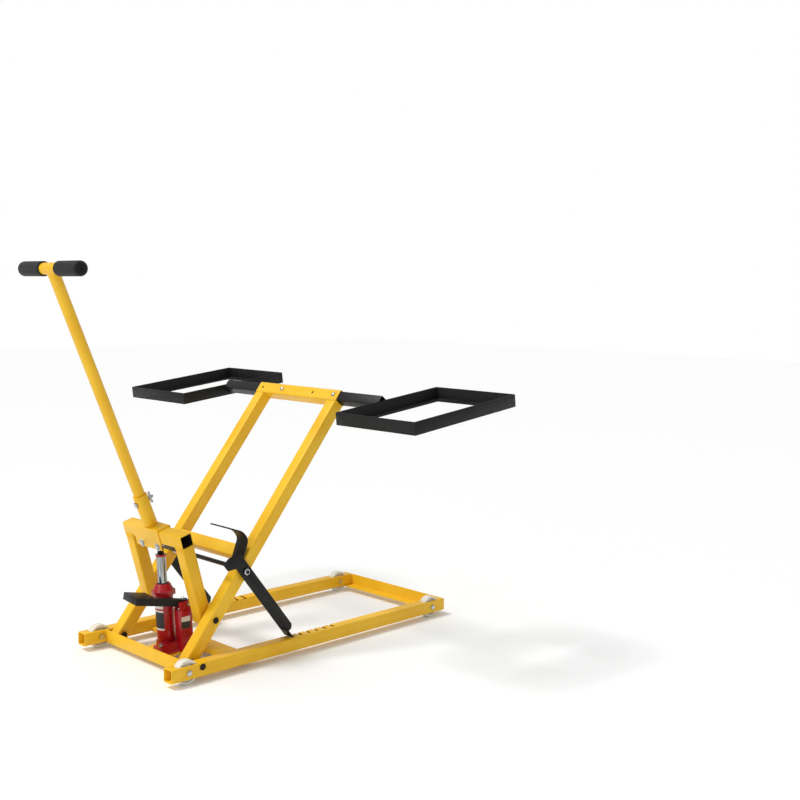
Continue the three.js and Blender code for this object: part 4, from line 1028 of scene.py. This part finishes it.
# %% [markdown]
# Arms, legs and bars are square tubes that end on another tube. The leaning ones are measured in frames
# of their own: one along the arms, one along the legs and one along the sleeve on the portal.

# %% Beads round the tubes' ends
TUBE_CORNER = 4 * MM

arm_start = Vector(joints["arm_lift"]["pos_m"])
top_low, top_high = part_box("top_bar")
arm_reach = (top_low.x + top_high.x) / 2 - arm_start.x
arm_rise = (top_low.z + top_high.z) / 2 - arm_start.z
arm_frame = frame_on(arm_start, (arm_reach, 0, arm_rise))
leg_start = Vector(joints["portal_swing"]["pos_m"])
leg_start.y = 0
leg_side = broad_side("near_portal_leg")
leg_side *= math.copysign(1, leg_side.x)
leg_frame = frame_on(leg_start, leg_side.cross((0, 1, 0)), leg_side)
portal_frame = frame_on(leg_start, portal_side.cross((0, 1, 0)), portal_side)


def end_seams(node, matrix, axis, end):
    """Four beads round the end of a square tube."""
    low, high = extent(node, matrix)
    one, two = [i for i in range(3) if i != axis]
    for run, across in ((one, two), (two, one)):
        for edge in (low, high):
            places = []
            for run_place in (low[run] + TUBE_CORNER, high[run] - TUBE_CORNER):
                place = [0, 0, 0]
                place[axis] = (high if end > 0 else low)[axis]
                place[run] = run_place
                place[across] = edge[across]
                places.append(matrix @ Vector(place))
            mark = f"{node}_bead_{axis}{end > 0:d}{run}{edge is high:d}"
            bead(mark, places[0], places[1], body_of[node])


for end in (-1, 1):
    end_seams("middle_bar", arm_frame, axis=1, end=end)
for side in ("near", "far"):
    end_seams(f"{side}_arm", arm_frame, axis=2, end=1)
    end_seams(f"{side}_portal_leg", leg_frame, axis=2, end=1)
print("beads", len(beads))

# %% [markdown]
# A tray is welded from four angles, and each inner corner has a bead that runs up where two of their
# walls meet.

# %% Beads in the trays
ANGLE_WALL = 3 * MM


def tray_corners(side):
    """A bead in each inner corner of a tray."""
    tray = f"{side}_wheel_tray"
    broad = broad_side(tray)
    tray_up = broad if abs(broad.z) > abs(broad.x) else broad.cross((0, 1, 0))
    matrix = frame_on(middle_of(tray), tray_up * math.copysign(1, tray_up.z))
    low, high = extent(tray, matrix)
    for x, x_mark in ((low.x + ANGLE_WALL, "front"), (high.x - ANGLE_WALL, "rear")):
        for y, y_mark in ((low.y + ANGLE_WALL, "left"), (high.y - ANGLE_WALL, "right")):
            foot = matrix @ Vector((x, y, low.z + ANGLE_WALL))
            top = matrix @ Vector((x, y, high.z - BEAD_RADIUS))
            bead(f"{tray}_{x_mark}_{y_mark}_bead", foot, top, f"{side}_tray", "black")
    print(tray, "size", [round(v, 4) for v in high - low])


tray_corners("near")
tray_corners("far")

# %% [markdown]
# On the base, the cross angles and the middle channel end against the rails. Each end of an angle has one
# bead up its wall and one along its foot, and each end of the channel has one along its top.

# %% Beads on the base
BEAD_INSET = 2 * MM
FOOT_RISE = 5 * MM
FOOT_INSET = 4 * MM
CHANNEL_INSET = 3 * MM

for side, sign in (("near", -1), ("far", 1)):
    rail_low, rail_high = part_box(f"{side}_rail")
    face = rail_high.y if sign < 0 else rail_low.y
    for node, outer in (("front_cross_angle", -1), ("rear_cross_angle", 1)):
        low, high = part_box(node)
        edge = low.x if outer < 0 else high.x - ANGLE_WALL
        bead(f"{node}_{side}_bead", (edge, face, low.z), (edge, face, high.z - BEAD_INSET), "base")
        start, end = high.x - BEAD_INSET, low.x + FOOT_INSET
        if outer > 0:
            start, end = low.x + BEAD_INSET, high.x - FOOT_INSET
        foot = low.z + FOOT_RISE
        bead(f"{node}_{side}_foot_bead", (start, face, foot), (end, face, foot), "base")
    low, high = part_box("middle_cross_channel")
    start, end = low.x + CHANNEL_INSET, high.x - CHANNEL_INSET
    bead(f"middle_channel_{side}_bead", (start, face, high.z), (end, face, high.z), "base")
print("beads", len(beads))

# %% [markdown]
# The two bolts of the saddle each press on a plain washer, a flat band that lies on the saddle's plate.

# %% Washers under the saddle's bolts
WASHER_WALL = 1.4 * MM
WASHER_EDGE = 0.25 * MM
WASHER_BORE_SHARE = 0.5
WASHER_RIM_SHARE = 1.35


def washer(bolt):
    """A washer on the saddle, about the axis of a bolt."""
    middle = leg_frame.inverted() @ middle_of(bolt)
    middle.x = extent("handle_saddle", leg_frame)[0].x
    low, high = extent(bolt, leg_frame)
    reach = (high.y - low.y) / 2
    seat = leg_frame @ Matrix.Translation(middle) @ Matrix.Rotation(-math.pi / 2, 4, "Y")
    rings = band(reach * WASHER_BORE_SHARE, reach * WASHER_RIM_SHARE, 0, WASHER_WALL)
    piece = lathe(bolt + "_washer_finish", rings, steps=40, bored=True)
    carried(moved(rounded(piece, WASHER_EDGE, sharp=35), seat), "portal", "steel")
    print(bolt, "washer", round(reach * WASHER_RIM_SHARE, 4))


washer("near_saddle_bolt")
washer("far_saddle_bolt")

# %% [markdown]
# The handle's sleeve is round and stands on the saddle, so its bead is a closed ring about its foot. The
# section bulges outwards below and thins towards the top.

# %% Bead round the sleeve
RING_SUNK_SHARE = 0.6
RING_BULGE_SHARE = 0.9
RING_BULGE_RISE_SHARE = 0.3
RING_TOP_SHARE = 0.2
RING_SMOOTH_ANGLE = math.radians(60)

low, high = extent("handle_sleeve", portal_frame)
sleeve_foot = Matrix.Translation(((low.x + high.x) / 2, (low.y + high.y) / 2, low.z))
sleeve_radius = (high.x - low.x) / 2
inner = sleeve_radius - BEAD_RADIUS
foot = -BEAD_RADIUS * RING_SUNK_SHARE
bulge = sleeve_radius + BEAD_RADIUS * RING_BULGE_SHARE
rings = [(inner, foot), (sleeve_radius + BEAD_RADIUS, foot), (bulge, BEAD_RADIUS * RING_BULGE_RISE_SHARE)]
rings += [(sleeve_radius + BEAD_RADIUS * RING_TOP_SHARE, BEAD_RADIUS), (inner, BEAD_RADIUS), (inner, foot)]
ring = smoothed(lathe("sleeve_bead_finish", rings, steps=64, bored=True), RING_SMOOTH_ANGLE)
carried(moved(ring, portal_frame @ sleeve_foot), "portal", "yellow")
print("sleeve bead", round(sleeve_radius, 4))

# %% [markdown]
# What is left keeps the frame's shape. Folded plate gets the widest edge, rolled tube a smaller one, since
# its long corners are round already, and machined pins the smallest.

# %% Soft edges on the rest
PLATE_EDGE = 0.6 * MM
TUBE_EDGE = 0.4 * MM
PIN_EDGE = 0.3 * MM
PLATE_WORDS = ("tray", "angle", "channel", "plate", "saddle", "strap", "step", "latch_bar", "pedal", "lever")
TUBE_WORDS = ("rail", "_arm", "_bar", "leg", "beam", "tube", "sleeve", "push_handle")

for node in sorted(set(frame["nodes"]) - made):
    edge = PIN_EDGE
    if any(word in node for word in TUBE_WORDS):
        edge = TUBE_EDGE
    if any(word in node for word in PLATE_WORDS):
        edge = PLATE_EDGE
    softened(node, edge)
print("nodes", len(made), "of", len(frame["nodes"]))

# %% [markdown]
# The portal's beam and the top bar are open at their ends, and their hollows lie in shade. A face that lies
# deeper than the tube's skin and looks across its axis gets painted shade, a near-black brown.

# %% Painted shade inside the open tubes
TUBE_SKIN = 1.2 * MM
ALONG_LIMIT = 0.5


def paint_inner_shade(node, matrix, axis):
    """Paints shade on the inside faces of a square tube."""
    low, high = extent(node, matrix)
    inverse = matrix.inverted()
    piece = bpy.data.objects[node + "_finish"]
    piece.data.materials.append(PAINTED_SHADE_INSIDE)
    others = [i for i in range(3) if i != axis]
    # Faces deep inside the hollow get the painted shade.
    for face in piece.data.polygons:
        place = inverse @ face.center
        depth = min(min(place[i] - low[i], high[i] - place[i]) for i in others)
        along = abs((inverse.to_3x3() @ face.normal)[axis])
        if depth > TUBE_SKIN and along < ALONG_LIMIT:
            face.material_index = 1


paint_inner_shade("portal_beam", leg_frame, axis=1)
paint_inner_shade("top_bar", arm_frame, axis=1)
# The tubes whose hollows got painted shade.
print("painted shade inside", "portal_beam", "top_bar")
